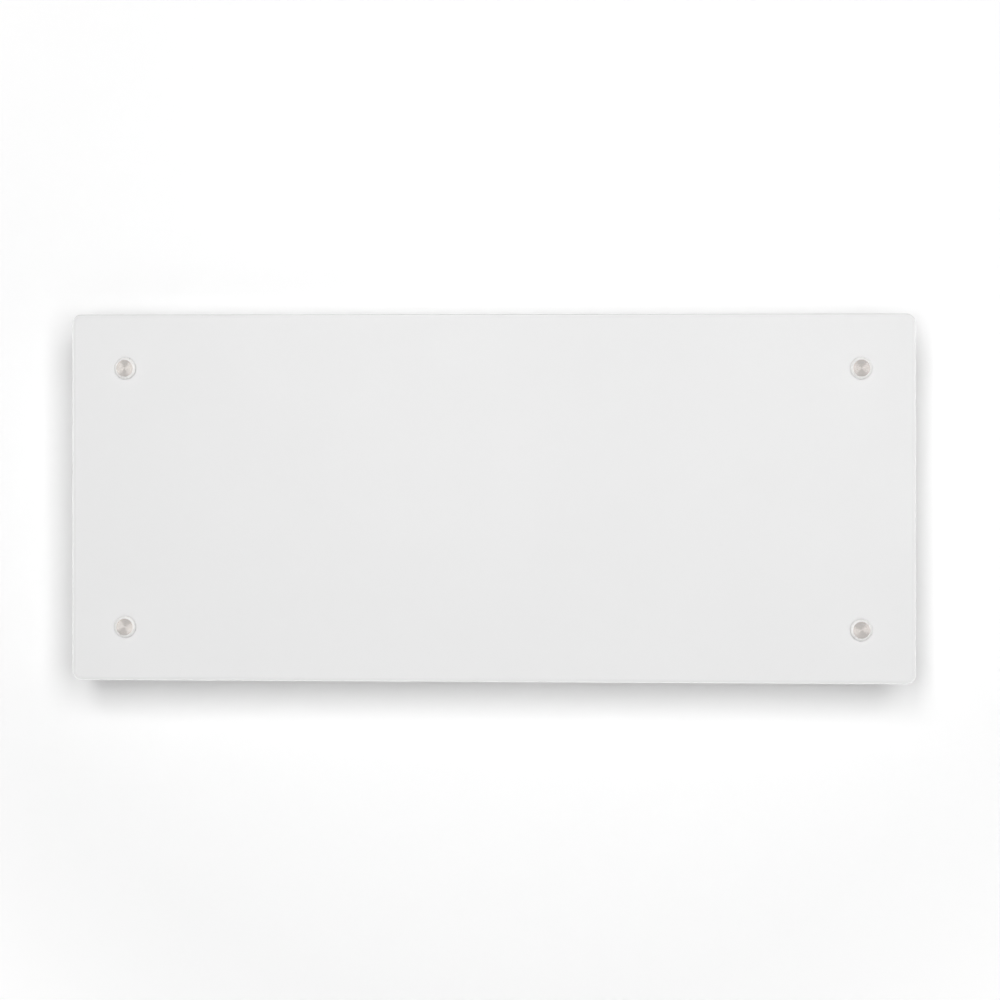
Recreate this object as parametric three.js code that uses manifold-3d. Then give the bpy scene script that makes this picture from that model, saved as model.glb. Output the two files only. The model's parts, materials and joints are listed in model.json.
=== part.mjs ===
import * as THREE from 'three';
import { mergeVertices } from 'three/addons/utils/BufferGeometryUtils.js';
import Module from 'manifold-3d';

const wasm = await Module();
wasm.setup();

// A wall-hung panel heater with a glass front. Millimetres, +Z up, the wall at y = 0 and
// the front towards -Y. The origin is on the wall, behind the centre of the casing.

// Clearances
const seat = 0.3; // between faces that bear on each other
const runningGap = 0.3; // between a pin and its hole
const slideGap = 0.5; // between pieces that slide past each other
const overrun = 2; // how far a cut passes the surface it opens

// Glass front
const glassWidth = 780;
const glassHeight = 340;
const glassThickness = 5;
const glassCorner = 8.5;
const glassBevelWidth = 4.5;
const glassBevelDepth = 0.8;
const glassArris = 0.4;
const knobInset = 50; // from the glass edges to the knob axes

// Turned knobs, their washers and the spacers behind the glass
const knobRadius = 10;
const knobFaceRadius = 7.8;
const knobRim = 1.1;
const knobHeight = 3.5;
const knobPipRadius = 0.9;
const knobPipDepth = 0.4;
const studRadius = 3;
const studLength = 12;
const washerRadius = 9.2;
const washerThickness = 0.8;
const collarWall = 1.4;
const collarLength = 3.6;
const spacerRadius = 8;
const spacerLength = 8;
const spacerChamfer = 0.6;
const spigotRadius = 5;
const spigotLength = 3;

// Sheet-steel casing
const wallGap = 24; // from the wall to the back of the casing
const casingDepth = 44;
const knobBelowTop = 25; // of the upper knobs' axes, below the casing's top edge
const casingSheet = 1.2;
const sheetBend = 2; // bend radius at the middle of the sheet
const beadBelowStriker = 13; // from a striker's foot to the middle of the upper bead
const beadWidth = 12;
const beadDepth = 2;
const plateRimDepth = 10;
const bossRadius = 12;
const bossHeight = 4;
const bossFlare = 2;
const bossMargin = 2; // of flat plate beside a boss

// Moulded end caps and their screws
const capDepth = 14;
const capCorner = 5;
const capRound = 3;
const capWall = 3;
const capEndWall = 2;
const capSpigot = 8;
const screwRadius = 1.75;
const screwHeadRadius = 3.6;
const screwHeadHeight = 2;
const screwHeadRound = 0.7;
const screwLength = 5;
const screwInset = 49; // from the casing's top and bottom edges

// Air openings
const outletFromCap = 26;
const outletToControl = 18;
const outletDepth = 24;
const outletFromBack = 7;
const inletSlotLength = 30;
const inletSlotWidth = 5;
const inletSlotPitch = 42;
const inletRowGap = 14;
const inletFromCap = 31;
const inletToBlock = 18.5;

// Outlet grille
const grilleFlange = 4;
const grilleLid = 1.5;
const grilleWall = 2;
const grilleDrop = 12;
const grilleCorner = 3;
const bladeCount = 4;
const bladeSheet = 1.1;
const bladeLean = 0.7; // turn of a blade over its height, in radians
const ribPitch = 62;
const ribSheet = 1.4;
const snapLength = 9;
const snapHeight = 5;
const snapReach = 1.2;
const snapPitch = 130;

// Heating element and what holds it
const elementFromCap = 58;
const elementToBlock = 27.5;
const elementRise = 79; // of its axis, above the casing's bottom edge
const hubRadius = 6.5;
const sheathRadius = 4;
const sheathEnd = 24;
const armReach = 14;
const armRise = 31;
const armRoot = 3;
const armTip = 1.6;
const slitWidth = 3;
const slitPitch = 44;
const slitStart = 13;
const bushRadius = 8.5;
const bushNeck = 6.5;
const bushFlange = 2.4;
const standSheet = 1.2;
const standFoot = 16;
const standHeight = 44;
const standReach = 31;
const standNose = 14.6;
const shieldSheet = 0.6;
const shieldHeight = 104;
const shieldFoot = 8;
const shieldLift = 2.6;
const shieldEndGap = 6;

// Overheat cut-out on its shelf
const cutoutRadius = 8;
const cutoutDrop = 7;
const cutoutCap = 5;
const cutoutCapRadius = 6.5;
const cutoutEarLength = 30;
const cutoutEarWidth = 12;
const cutoutEarCorner = 4;
const cutoutEarSheet = 1;
const cutoutX = -60;
const bladeTabWidth = 6.3;
const bladeTabHeight = 7;
const bladeTabSheet = 0.8;
const shelfAboveShield = 2; // from the heat shield's top to the shelf's
const shelfWidth = 40;
const shelfReach = 30;
const shelfFoot = 18;

// Control unit, which drops into the right end of the casing top
const controlFromCap = 10;
const controlHeight = 48;
const controlWall = 1.8;
const controlCorner = 3;
const fasciaLid = 1.5;
const fasciaFlange = 4;
const fasciaDrop = 4;
const windowWidth = 24;
const windowDepth = 13;
const windowThickness = 1.2;
const windowLedge = 1;
const panelMargin = 3.5;
const buttonWidth = 7;
const buttonLength = 12;
const buttonCorner = 2;
const buttonGap = 2;
const buttonMargin = 1; // beyond the last button
const buttonProud = 1.2;
const buttonRound = 0.6;
const buttonFlange = 1;
const buttonFlangeHeight = 1.2;
const buttonStem = 2;
const buttonTravel = 0.8;
const boardSheet = 1.6;
const boardDrop = 14; // of the board's top, below the casing top
const ledgeWidth = 2;
const ledgeHeight = 3;
const keySwitchSize = 6;
const keySwitchHeight = 3.4;
const keyPlungerRadius = 1.7;
const keyPlungerHeight = 1.2;
const displayHeight = 9.4;
const relayWidth = 19;
const relayDepth = 15;
const relayHeight = 16;
const partCorner = 0.8;
const capacitorRadius = 5;
const capacitorHeight = 15;
const capacitorNeckShare = 0.2;
const radioWidth = 24;
const radioDepth = 6;
const radioSheet = 1;
const radioCanHeight = 2.4;
const radioCanShare = 0.7;

// Rocker switch in the right end cap
const switchRise = 50; // of its middle, above the casing's bottom edge
const bezelWidth = 21;
const bezelHeight = 31;
const bezelThickness = 2;
const bezelRound = 1;
const bezelCorner = 2;
const barrelWidth = 17;
const barrelHeight = 27;
const barrelDepth = 20;
const barrelWall = 1.4;
const barrelFloor = 3;
const switchTabPlace = 6.75; // of its two tabs, above and below the middle
const rockerHubRadius = 3.2;
const rockerEndRise = 3.6;
const rockerMidRise = 2.4;
const rockerEndDrop = 1.2;
const rockerEndGap = 0.8;
const rockerTilt = THREE.MathUtils.degToRad(8);
const trunnionRadius = 1.4;
const trunnionLength = 0.8;
const pivotDepth = 1.6; // of the rocker's pivot behind the cap's end face

// Supply entry, terminals, leads and room sensor
const glandFromCap = 40;
const glandBore = 4.5;
const glandThread = 8;
const glandHex = 11;
const glandHexHeight = 6;
const glandDomeRadius = 8.5;
const glandDomeHeight = 9;
const glandDomeFoot = 3;
const glandLip = 1.5;
const glandNutHeight = 5;
const blockFromGland = 46;
const blockLength = 33;
const blockDepth = 18;
const blockHeight = 15;
const blockStep = 5;
const blockPoles = 3;
const blockScrewRadius = 2.2;
const blockScrewDepth = 5;
const leadRadius = 1.4;
const leadBend = 12;
const leadOut = 14; // of a lead beyond the end of the sheath
const supplyLeadRadius = 2.2;
const supplyLeadDrop = 63.4; // of its level run, below the control unit
const supplyLeadPlace = 14.5; // of its upper end, left of the control unit's middle
const sensorFromCap = 20;
const sensorRadius = 3;
const sensorDrop = 7;
const sensorFlangeRadius = 4.5;
const sensorFlange = 1.5;
const sensorBody = 8;

// Wall bracket
const bracketSheet = 1.5;
const uprightSpacing = 400;
const uprightWidth = 34;
const uprightBelowTop = 33; // of the uprights' top, below the casing's top edge
const flangeDepth = 15;
const flangeChamfer = 6;
const crossHeight = 70;
const crossFlange = 12;
const crossCorner = 3;
const pinRise = 25; // of the hinge pins, above the casing's bottom edge
const pinStandOff = 11; // of the hinge pins, from the wall
const hookRadius = 8;
const hookLip = 4;
const mouthRise = 14;
const wallSlotWidth = 5;
const wallSlotLength = 11;
const upperSlotDrop = 57; // below the uprights' top
const lowerSlotRise = 54; // above the pin axis
const crossSlotPlace = 90; // of the level slots, each side of the centre

// Hangers, hinge pins and strikers on the back of the casing
const hangerSheet = 1.5;
const hangerWidth = 25;
const hangerHeight = 32;
const earRadius = 6.5;
const pinRadius = 3;
const pinLength = 38;
const pinChamfer = 0.6;
const strikerWidth = 22;
const strikerBase = 22;
const strikerDrop = 32; // of the arm's top, below the uprights' top
const strikerReach = 8; // from the wall to the lip
const strikerLip = 8;

// Sliding catches in the tops of the uprights
const catchWidth = 26;
const catchTravel = 8;
const catchGap = 1.5; // between a catch's nose and the striker's lip
const catchHeight = 46;
const catchTab = 15;
const rivetDrop = 6; // below the uprights' top
const rivetRadius = 2.5;
const rivetHeadRadius = 5;
const rivetHead = 1.5;

// Facets
const bendSteps = 2;
const arcSteps = 3;
const slotSteps = 1;
const turnSteps = 20;
const smallTurnSteps = 12;
const cornerSteps = 4;
const smallCornerSteps = 2;
const screwSteps = 8;
const leadSides = 8;
const leadStep = 46; // length of a lead between two of its rings
const hexSides = 6;
const leastCornerShare = 0.25; // of a corner's radius that an inset may leave
const quarterTurn = 90; // in degrees

// Derived planes and places
const knobX = glassWidth / 2 - knobInset;
const knobZ = glassHeight / 2 - knobInset;
const bossFoot = bossRadius + bossFlare;
const sheetEnd = knobX + bossFoot + bossMargin;
const casingWidth = 2 * (sheetEnd + capDepth);
const casingHeight = 2 * (knobZ + knobBelowTop);
const casingBack = -wallGap;
const casingFront = casingBack - casingDepth;
const casingMiddle = (casingBack + casingFront) / 2;
const casingTop = casingHeight / 2;
const casingBottom = -casingTop;
const halfSheet = casingSheet / 2;
const innerBack = casingBack - casingSheet;
const innerFront = casingFront + casingSheet;
const innerTop = casingTop - casingSheet;
const innerBottom = -innerTop;
const bossTop = casingFront - bossHeight;
const spacerFront = bossTop - seat - spacerLength;
const glassBack = spacerFront - seat;
const glassFace = glassBack - glassThickness;
const knobBase = glassFace - seat - washerThickness - seat;
const collarRadius = studRadius + runningGap + collarWall;
const screwX = sheetEnd - capSpigot / 2;
const screwZ = casingTop - screwInset;
const glandX = sheetEnd - glandFromCap;
const sensorX = sheetEnd - sensorFromCap;
const blockX = glandX - blockFromGland;
const blockLeft = blockX - blockLength / 2;
const blockBottom = innerBottom + seat;
const buttonNames = ['minus', 'mode', 'plus'];
const buttonPitch = buttonWidth + buttonGap;
const buttonRow = buttonNames.length * buttonPitch - buttonGap + buttonMargin;
const controlLength = 2 * panelMargin + windowWidth + buttonRow;
const controlWidth = controlLength + 2 * slideGap;
const controlX = sheetEnd - controlFromCap - controlWidth / 2;
const outletLeft = outletFromCap - sheetEnd;
const outletRight = controlX - controlWidth / 2 - outletToControl;
const outletY = casingBack - outletFromBack - outletDepth / 2;
const inletLeft = inletFromCap - sheetEnd;
const inletRight = blockLeft - inletToBlock;
const elementLeft = elementFromCap - sheetEnd;
const elementRight = blockLeft - elementToBlock;
const elementZ = casingBottom + elementRise;
const shelfTop = elementZ + shieldHeight / 2 + shelfAboveShield;
const pinY = -pinStandOff;
const pinZ = casingBottom + pinRise;
const uprightX = uprightSpacing / 2;
const uprightTop = casingTop - uprightBelowTop;
const rivetZ = uprightTop - rivetDrop;
const armTopZ = uprightTop - strikerDrop;
const beadPlace = armTopZ - strikerBase - beadBelowStriker;

// Places in the control unit, whose own origin is on the casing top, in the middle of its opening
const controlDepth = outletDepth - 2 * slideGap;
const housingTop = -(casingSheet + seat);
const boardTop = -boardDrop;
const housingWidth = controlWidth + 2 * controlWall;
const housingDepth = outletDepth + 2 * controlWall;
const windowX = panelMargin + windowWidth / 2 - controlLength / 2;
const firstButtonX = windowX + windowWidth / 2 + panelMargin + buttonWidth / 2;
const modeButtonX = firstButtonX + buttonPitch;
const buttonPlaces = buttonNames.map((name, i) => [name, firstButtonX + i * buttonPitch]);

// Directions: each matrix turns a shape drawn in the XY plane and raised along +Z
const axisX = new THREE.Vector3(1, 0, 0);
const axisY = new THREE.Vector3(0, 1, 0);
const axisZ = new THREE.Vector3(0, 0, 1);
const minusX = axisX.clone().negate();
const minusY = axisY.clone().negate();
const minusZ = axisZ.clone().negate();
const turns = {
  right: new THREE.Matrix4().makeBasis(axisY, axisZ, axisX),
  left: new THREE.Matrix4().makeBasis(minusY, axisZ, minusX),
  front: new THREE.Matrix4().makeBasis(axisX, axisZ, minusY),
  back: new THREE.Matrix4().makeBasis(minusX, axisZ, axisY),
  up: new THREE.Matrix4().makeBasis(axisX, axisY, axisZ),
  down: new THREE.Matrix4().makeBasis(axisX, minusY, minusZ),
};

// Materials
function finish(colour, roughness, metalness) {
  return new THREE.MeshStandardMaterial({ color: colour, roughness, metalness });
}
const whiteGlass = finish(0xeeeeee, 0.12, 0);
const stainless = finish(0xc9c3ba, 0.3, 1);
const clearPlastic = finish(0xe4e6e6, 0.3, 0);
const whitePaint = finish(0xe9e9e7, 0.45, 0.1);
const galvanised = finish(0xa9adb0, 0.45, 0.9);
const zincPlate = finish(0xc4c6c8, 0.3, 1);
const aluminium = finish(0xbfc2c4, 0.42, 0.95);
const whitePlastic = finish(0xe6e6e4, 0.5, 0);
const greyPlastic = finish(0x8d9092, 0.55, 0);
const blackPlastic = finish(0x1b1c1d, 0.45, 0);
const smokedPlastic = finish(0x15171a, 0.12, 0);
const boardGreen = finish(0x1f5a3a, 0.5, 0);
const silicone = finish(0xb8563a, 0.6, 0);
const leadSleeve = finish(0xd8d4c8, 0.7, 0);

// Solids and placing
function solid(geometry) {
  const bare = geometry.clone();
  bare.deleteAttribute('normal');
  bare.deleteAttribute('uv');
  const merged = mergeVertices(bare);
  const mesh = new wasm.Mesh({
    numProp: 3,
    vertProperties: merged.attributes.position.array,
    triVerts: merged.index.array,
  });
  return new wasm.Manifold(mesh);
}

function placed(geometry, towards, at) {
  geometry.applyMatrix4(turns[towards]);
  geometry.translate(...at);
  return solid(geometry);
}

function extruded(shape, length, towards, at, steps = arcSteps) {
  const settings = { depth: length, bevelEnabled: false, curveSegments: steps };
  return placed(new THREE.ExtrudeGeometry(shape, settings), towards, at);
}

function block([x0, x1], [y0, y1], [z0, z1]) {
  const box = new THREE.BoxGeometry(Math.abs(x1 - x0), Math.abs(y1 - y0), Math.abs(z1 - z0));
  return placed(box, 'up', [(x0 + x1) / 2, (y0 + y1) / 2, (z0 + z1) / 2]);
}

function turned(profile, towards, at, steps = smallTurnSteps) {
  const points = profile.map(([radius, height]) => new THREE.Vector2(radius, height));
  const lathe = new THREE.LatheGeometry(points, steps);
  lathe.rotateX(Math.PI / 2);
  return placed(lathe, towards, at);
}

function rod(radius, length, towards, at, steps = smallTurnSteps) {
  return turned([[0, 0], [radius, 0], [radius, length], [0, length]], towards, at, steps);
}

// A round-cornered rectangle stacked through levels of [height, inset]
function stacked(width, height, corner, levels, towards, at, steps = smallCornerSteps) {
  const rings = levels.map(([level, inset]) => ring(width, height, corner, inset, level, steps));
  const size = rings[0].length;
  const points = rings.flat();
  const faces = [];
  rings.slice(1).forEach((_, row) => {
    for (let i = 0; i < size; i += 1) {
      const [a, b] = [row * size + i, row * size + ((i + 1) % size)];
      faces.push(a, b, b + size, a, b + size, a + size);
    }
  });
  const top = points.length - size;
  for (let i = 1; i < size - 1; i += 1) {
    faces.push(0, i + 1, i, top, top + i, top + i + 1);
  }
  const geometry = new THREE.BufferGeometry();
  geometry.setAttribute('position', new THREE.Float32BufferAttribute(points.flat(), 3));
  geometry.setIndex(faces);
  return placed(geometry, towards, at);
}

function ring(width, height, corner, inset, level, steps) {
  const radius = Math.max(corner - inset, corner * leastCornerShare);
  const [halfWidth, halfHeight] = [width / 2 - inset - radius, height / 2 - inset - radius];
  const points = [];
  [[1, 1], [-1, 1], [-1, -1], [1, -1]].forEach(([u, v], quarter) => {
    for (let i = 0; i <= steps; i += 1) {
      const angle = (quarter + i / steps) * Math.PI / 2;
      const across = u * halfWidth + radius * Math.cos(angle);
      points.push([across, v * halfHeight + radius * Math.sin(angle), level]);
    }
  });
  return points;
}

// The levels that end a stacked form in a quarter round
function roundedEnd(height, round) {
  return Array.from({ length: bendSteps + 1 }, (_, i) => {
    const angle = i / bendSteps * Math.PI / 2;
    return [height - round * (1 - Math.sin(angle)), round * (1 - Math.cos(angle))];
  });
}

// A line through corners, each turned with one radius
function bendLine(turningPoints, radius, closed = false) {
  const count = turningPoints.length;
  const points = turningPoints.map(([u, v]) => new THREE.Vector2(u, v));
  const line = [];
  points.forEach((here, i) => {
    if (!closed && (i === 0 || i === count - 1)) {
      line.push(here);
      return;
    }
    const before = points[(i + count - 1) % count].clone().sub(here).normalize();
    const after = points[(i + 1) % count].clone().sub(here).normalize();
    const half = Math.acos(before.dot(after)) / 2;
    const inward = before.clone().add(after).normalize();
    const centre = here.clone().addScaledVector(inward, radius / Math.sin(half));
    const start = here.clone().addScaledVector(before, radius / Math.tan(half)).sub(centre);
    const side = Math.sign(before.cross(after));
    const sweep = -side * (Math.PI - 2 * half);
    for (let k = 0; k <= bendSteps; k += 1) {
      const turn = sweep * k / bendSteps;
      line.push(start.clone().rotateAround(new THREE.Vector2(), turn).add(centre));
    }
  });
  return line;
}

// The outline of a strip along a line, as thick as thicknessAt says at each share of the line
function ribbon(line, thicknessAt) {
  const last = line.length - 1;
  const near = [];
  const far = [];
  line.forEach((point, i) => {
    const ahead = line[Math.min(i + 1, last)].clone().sub(line[Math.min(i, last - 1)]).normalize();
    const behind = line[Math.max(i, 1)].clone().sub(line[Math.max(i - 1, 0)]).normalize();
    const along = ahead.clone().add(behind).normalize();
    const reach = thicknessAt(i / last) / 2 / along.dot(ahead);
    const across = new THREE.Vector2(-along.y, along.x).multiplyScalar(reach);
    near.push(point.clone().add(across));
    far.push(point.clone().sub(across));
  });
  return new THREE.Shape([...near, ...far.reverse()]);
}

function foldedSheet(turningPoints, sheet, bend = sheetBend) {
  return ribbon(bendLine(turningPoints, bend), () => sheet);
}

// A slot with round ends, long in its first direction
function slot(length, width) {
  const run = (length - width) / 2;
  const shape = new THREE.Shape();
  shape.absarc(run, 0, width / 2, -Math.PI / 2, Math.PI / 2, false);
  shape.absarc(-run, 0, width / 2, Math.PI / 2, 3 * Math.PI / 2, false);
  return shape;
}

function series(from, to, pitch) {
  const count = Math.floor((to - from) / pitch);
  const start = (from + to - count * pitch) / 2;
  return Array.from({ length: count + 1 }, (_, i) => start + i * pitch);
}

function joined(solids) {
  return solids.slice(1).reduce((whole, next) => whole.add(next), solids[0]);
}

function cut(body, tools) {
  return tools.reduce((left, tool) => left.subtract(tool), body);
}

function piece(name, body, material, at = [0, 0, 0]) {
  const { vertProperties, triVerts } = body.getMesh();
  const geometry = new THREE.BufferGeometry();
  geometry.setAttribute('position', new THREE.BufferAttribute(vertProperties, 3));
  geometry.setIndex(new THREE.BufferAttribute(triVerts, 1));
  geometry.computeVertexNormals();
  const mesh = new THREE.Mesh(geometry, material);
  mesh.name = name;
  mesh.position.set(...at);
  return mesh;
}

const sides = [['left', -1], ['right', 1]];
const ends = [['upper', 1], ['lower', -1]];
const cornerPlaces = sides.flatMap(([side, x]) => ends.map(([end, z]) => [`${side}_${end}`, x, z]));
const knobPlaces = cornerPlaces.map(([name, x, z]) => [name, x * knobX, z * knobZ]);

// Wall bracket: an H of folded sheet with a hook at the foot of each flange
function hookFlange() {
  const seatRadius = pinRadius + runningGap;
  const lipAngle = Math.asin(hookLip / hookRadius);
  const shape = new THREE.Shape();
  shape.moveTo(0, uprightTop);
  shape.lineTo(flangeChamfer - flangeDepth, uprightTop);
  shape.lineTo(-flangeDepth, uprightTop - flangeChamfer);
  shape.lineTo(-flangeDepth, pinZ + mouthRise + flangeChamfer);
  shape.lineTo(pinY + seatRadius, pinZ + mouthRise);
  shape.absarc(pinY, pinZ, seatRadius, 0, Math.PI, true);
  shape.lineTo(pinY - seatRadius, pinZ + hookLip);
  shape.absarc(pinY, pinZ, hookRadius, Math.PI - lipAngle, 3 * Math.PI / 2, false);
  shape.lineTo(0, pinZ - hookRadius);
  return shape;
}

function bracketOutline() {
  const [outer, inner] = [uprightX + uprightWidth / 2, uprightX - uprightWidth / 2];
  const [foot, cross] = [pinZ - hookRadius, crossHeight / 2];
  const half = [[outer, uprightTop], [inner, uprightTop], [inner, cross]];
  const upper = [...half, ...half.map(([x, z]) => [-x, z]).reverse()];
  const lower = upper.map(([x, z]) => [x, z === uprightTop ? foot : -z]).reverse();
  return new THREE.Shape(bendLine([...upper, ...lower], crossCorner, true));
}

function wallBracket() {
  const plate = extruded(bracketOutline(), bracketSheet, 'front', [0, 0, 0]);
  const flanges = sides.flatMap(([, side]) => [-uprightWidth / 2, uprightWidth / 2 - bracketSheet]
    .map((edge) => extruded(hookFlange(), bracketSheet, 'right', [side * uprightX + edge, 0, 0])));
  const inner = uprightX - uprightWidth / 2 + bracketSheet / 2;
  const webs = ends.map(([, end]) => {
    const edge = end * crossHeight / 2;
    return block([-inner, inner], [0, -crossFlange], [edge, edge - end * bracketSheet]);
  });
  const cutDepth = bracketSheet + 2 * overrun;
  const level = extruded(slot(wallSlotLength, wallSlotWidth), cutDepth, 'front', [0, overrun, 0],
    2 * slotSteps);
  const upright = level.rotate([0, quarterTurn, 0]);
  const openings = sides.flatMap(([, side]) => [
    upright.translate([side * uprightX, 0, uprightTop - upperSlotDrop]),
    upright.translate([side * uprightX, 0, pinZ + lowerSlotRise]),
    level.translate([side * crossSlotPlace, 0, 0]),
    rod(rivetRadius + runningGap, cutDepth, 'front', [side * uprightX, overrun, rivetZ])]);
  return cut(joined([plate, ...flanges, ...webs]), openings);
}

// A catch: one folded strip with a thumb tab, a slotted back, an arm and a nose
function slidingCatch() {
  const backY = -(bracketSheet + seat + bracketSheet / 2);
  const noseY = -(strikerReach + hangerSheet + catchGap + bracketSheet / 2);
  const armZ = armTopZ + strikerLip + slideGap + catchTravel + bracketSheet / 2;
  const topZ = armZ + catchHeight;
  const noseZ = armTopZ + strikerLip + slideGap;
  const folds = [[-catchTab, topZ], [backY, topZ], [backY, armZ], [noseY, armZ], [noseY, noseZ]];
  const strip = extruded(foldedSheet(folds, bracketSheet), catchWidth, 'right', [-catchWidth / 2, 0, 0]);
  const width = 2 * (rivetRadius + runningGap);
  const depth = bracketSheet + 2 * overrun;
  const opening = extruded(slot(catchTravel + width, width), depth, 'front', [0, 0, 0])
    .rotate([0, quarterTurn, 0]).translate([0, overrun - bracketSheet, rivetZ + catchTravel / 2]);
  return cut(strip, [opening]);
}

function catchRivet() {
  const shank = 2 * bracketSheet + seat;
  const profile = [[0, 0], [rivetRadius, 0], [rivetRadius, shank], [rivetHeadRadius, shank],
    [rivetHeadRadius, shank + rivetHead / 2], [rivetHeadRadius - rivetHead / 2, shank + rivetHead],
    [0, shank + rivetHead]];
  return turned(profile, 'front', [0, -seat, 0]);
}

// A hanger: a channel whose two ears taper to the hinge pin
function earOutline() {
  const base = casingBack + seat;
  const shoulder = base + hangerSheet;
  const shape = new THREE.Shape();
  shape.moveTo(base, pinZ + hangerHeight / 2);
  shape.lineTo(shoulder, pinZ + hangerHeight / 2);
  shape.absarc(pinY, pinZ, earRadius, Math.PI / 3, -Math.PI / 3, true);
  shape.lineTo(shoulder, pinZ - hangerHeight / 2);
  shape.lineTo(base, pinZ - hangerHeight / 2);
  return shape;
}

function hanger() {
  const edge = (hangerWidth - hangerSheet) / 2;
  const baseY = casingBack + seat + hangerSheet / 2;
  const tipY = pinY + earRadius + overrun;
  const channel = foldedSheet([[-edge, tipY], [-edge, baseY], [edge, baseY], [edge, tipY]], hangerSheet);
  const strip = extruded(channel, hangerHeight, 'up', [0, 0, pinZ - hangerHeight / 2]);
  const ears = extruded(earOutline(), hangerWidth, 'right', [-hangerWidth / 2, 0, 0]);
  const length = hangerWidth + overrun;
  const bore = rod(pinRadius + runningGap, length, 'right', [-length / 2, pinY, pinZ]);
  return strip.intersect(ears).subtract(bore);
}

function hingePin() {
  const shoulder = pinRadius - pinChamfer;
  const profile = [[0, 0], [shoulder, 0], [pinRadius, pinChamfer], [pinRadius, pinLength - pinChamfer],
    [shoulder, pinLength], [0, pinLength]];
  return turned(profile, 'right', [-pinLength / 2, 0, 0]);
}

function striker() {
  const half = hangerSheet / 2;
  const baseY = casingBack + seat + half;
  const lipY = -(strikerReach + half);
  const folds = [[baseY, armTopZ - strikerBase], [baseY, armTopZ - half], [lipY, armTopZ - half],
    [lipY, armTopZ + strikerLip]];
  return extruded(foldedSheet(folds, hangerSheet), strikerWidth, 'right', [-strikerWidth / 2, 0, 0]);
}

// Casing: back, top and bottom from one folded sheet with two beads
function rearCasing() {
  const [backY, frontY] = [casingBack - halfSheet, casingFront + seat];
  const topZ = casingTop - halfSheet;
  const bead = (z) => {
    const [near, far] = [beadWidth / 2, beadWidth / 2 + beadDepth];
    const crest = backY + beadDepth;
    return [[backY, z + far], [crest, z + near], [crest, z - near], [backY, z - far]];
  };
  const folds = [[frontY, topZ], [backY, topZ], ...bead(beadPlace), ...bead(-beadPlace),
    [backY, -topZ], [frontY, -topZ]];
  const shell = extruded(foldedSheet(folds, casingSheet), 2 * sheetEnd, 'right', [-sheetEnd, 0, 0]);
  const acrossTop = [outletY - outletDepth / 2, outletY + outletDepth / 2];
  const topCut = (left, right) => block([left, right], acrossTop, [innerTop - overrun, casingTop + overrun]);
  const openings = [topCut(outletLeft, outletRight),
    topCut(controlX - controlWidth / 2, controlX + controlWidth / 2)];
  const deep = casingSheet + 2 * overrun;
  const slots = series(inletLeft, inletRight, inletSlotPitch).flatMap((x) => ends.map(([, end]) => (
    extruded(slot(inletSlotLength, inletSlotWidth), deep, 'up',
      [x, casingMiddle + end * inletRowGap / 2, casingBottom - overrun], slotSteps))));
  const below = casingBottom - overrun;
  const glandHole = rod(glandThread + runningGap, deep, 'up', [glandX, casingMiddle, below]);
  const sensorHole = rod(sensorRadius + runningGap, deep, 'up', [sensorX, casingMiddle, below]);
  const screwHoles = cornerPlaces.map(([, side, end]) => (
    rod(screwRadius + runningGap, deep, 'front', [side * screwX, casingBack + overrun, end * screwZ])));
  return cut(shell, [...openings, ...slots, glandHole, sensorHole, ...screwHoles]);
}

// Front plate: a shallow tray that closes the casing, with four pressed bosses
function frontPlate() {
  const faceY = casingFront + halfSheet;
  const rimZ = innerTop - seat - halfSheet;
  const rimY = casingFront + plateRimDepth;
  const rimX = sheetEnd - capSpigot - slideGap;
  const section = foldedSheet([[rimY, rimZ], [faceY, rimZ], [faceY, -rimZ], [rimY, -rimZ]], casingSheet);
  const tray = extruded(section, 2 * rimX, 'right', [-rimX, 0, 0]);
  const flatZ = rimZ - sheetBend;
  const flat = block([-sheetEnd, sheetEnd], [casingFront, innerFront], [-flatZ, flatZ]);
  const rise = casingSheet + bossHeight;
  const boss = turned([[0, 0], [bossFoot, 0], [bossRadius, rise], [0, rise]], 'front', [0, innerFront, 0]);
  const mouth = bossFoot - casingSheet;
  const floor = overrun + bossHeight;
  const hollow = turned([[0, 0], [mouth, 0], [mouth, overrun], [bossRadius - casingSheet, floor], [0, floor]],
    'front', [0, innerFront + overrun, 0]);
  const bore = rod(spigotRadius + runningGap, rise + overrun, 'front', [0, innerFront, 0]);
  const atBosses = (form) => knobPlaces.map(([, x, z]) => form.translate([x, 0, z]));
  return cut(joined([tray, flat, ...atBosses(boss)]), [...atBosses(hollow), ...atBosses(bore)]);
}

// End cap: a moulded shell with a spigot that enters the folded casing
function endCap(towards, side) {
  const length = capDepth - seat;
  const at = (x) => [side * x, casingMiddle, 0];
  const shell = stacked(casingDepth, casingHeight, capCorner, [[0, 0], ...roundedEnd(length, capRound)],
    towards, at(sheetEnd + seat));
  const inset = casingSheet + seat;
  const spigot = stacked(casingDepth - 2 * inset, casingHeight - 2 * inset, capCorner,
    [[0, 0], [capSpigot + capWall, 0]], towards, at(sheetEnd - capSpigot));
  const depth = capSpigot + overrun + capDepth - capEndWall;
  const cavity = stacked(casingDepth - 2 * capWall, casingHeight - 2 * capWall, capCorner - capWall / 2,
    [[0, 0], [depth, 0]], towards, at(sheetEnd - capSpigot - overrun));
  const bores = ends.map(([, end]) => (
    rod(screwRadius + runningGap, casingDepth / 2, 'front', [side * screwX, casingBack, end * screwZ])));
  return cut(shell.add(spigot), [cavity, ...bores]);
}

function rightEndCap() {
  const fit = 2 * slideGap;
  const opening = stacked(barrelWidth + fit, barrelHeight + fit, bezelCorner,
    [[0, 0], [2 * overrun + capEndWall, 0]], 'right',
    [casingWidth / 2 - capEndWall - overrun, casingMiddle, casingBottom + switchRise]);
  return endCap('right', 1).subtract(opening);
}

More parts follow.
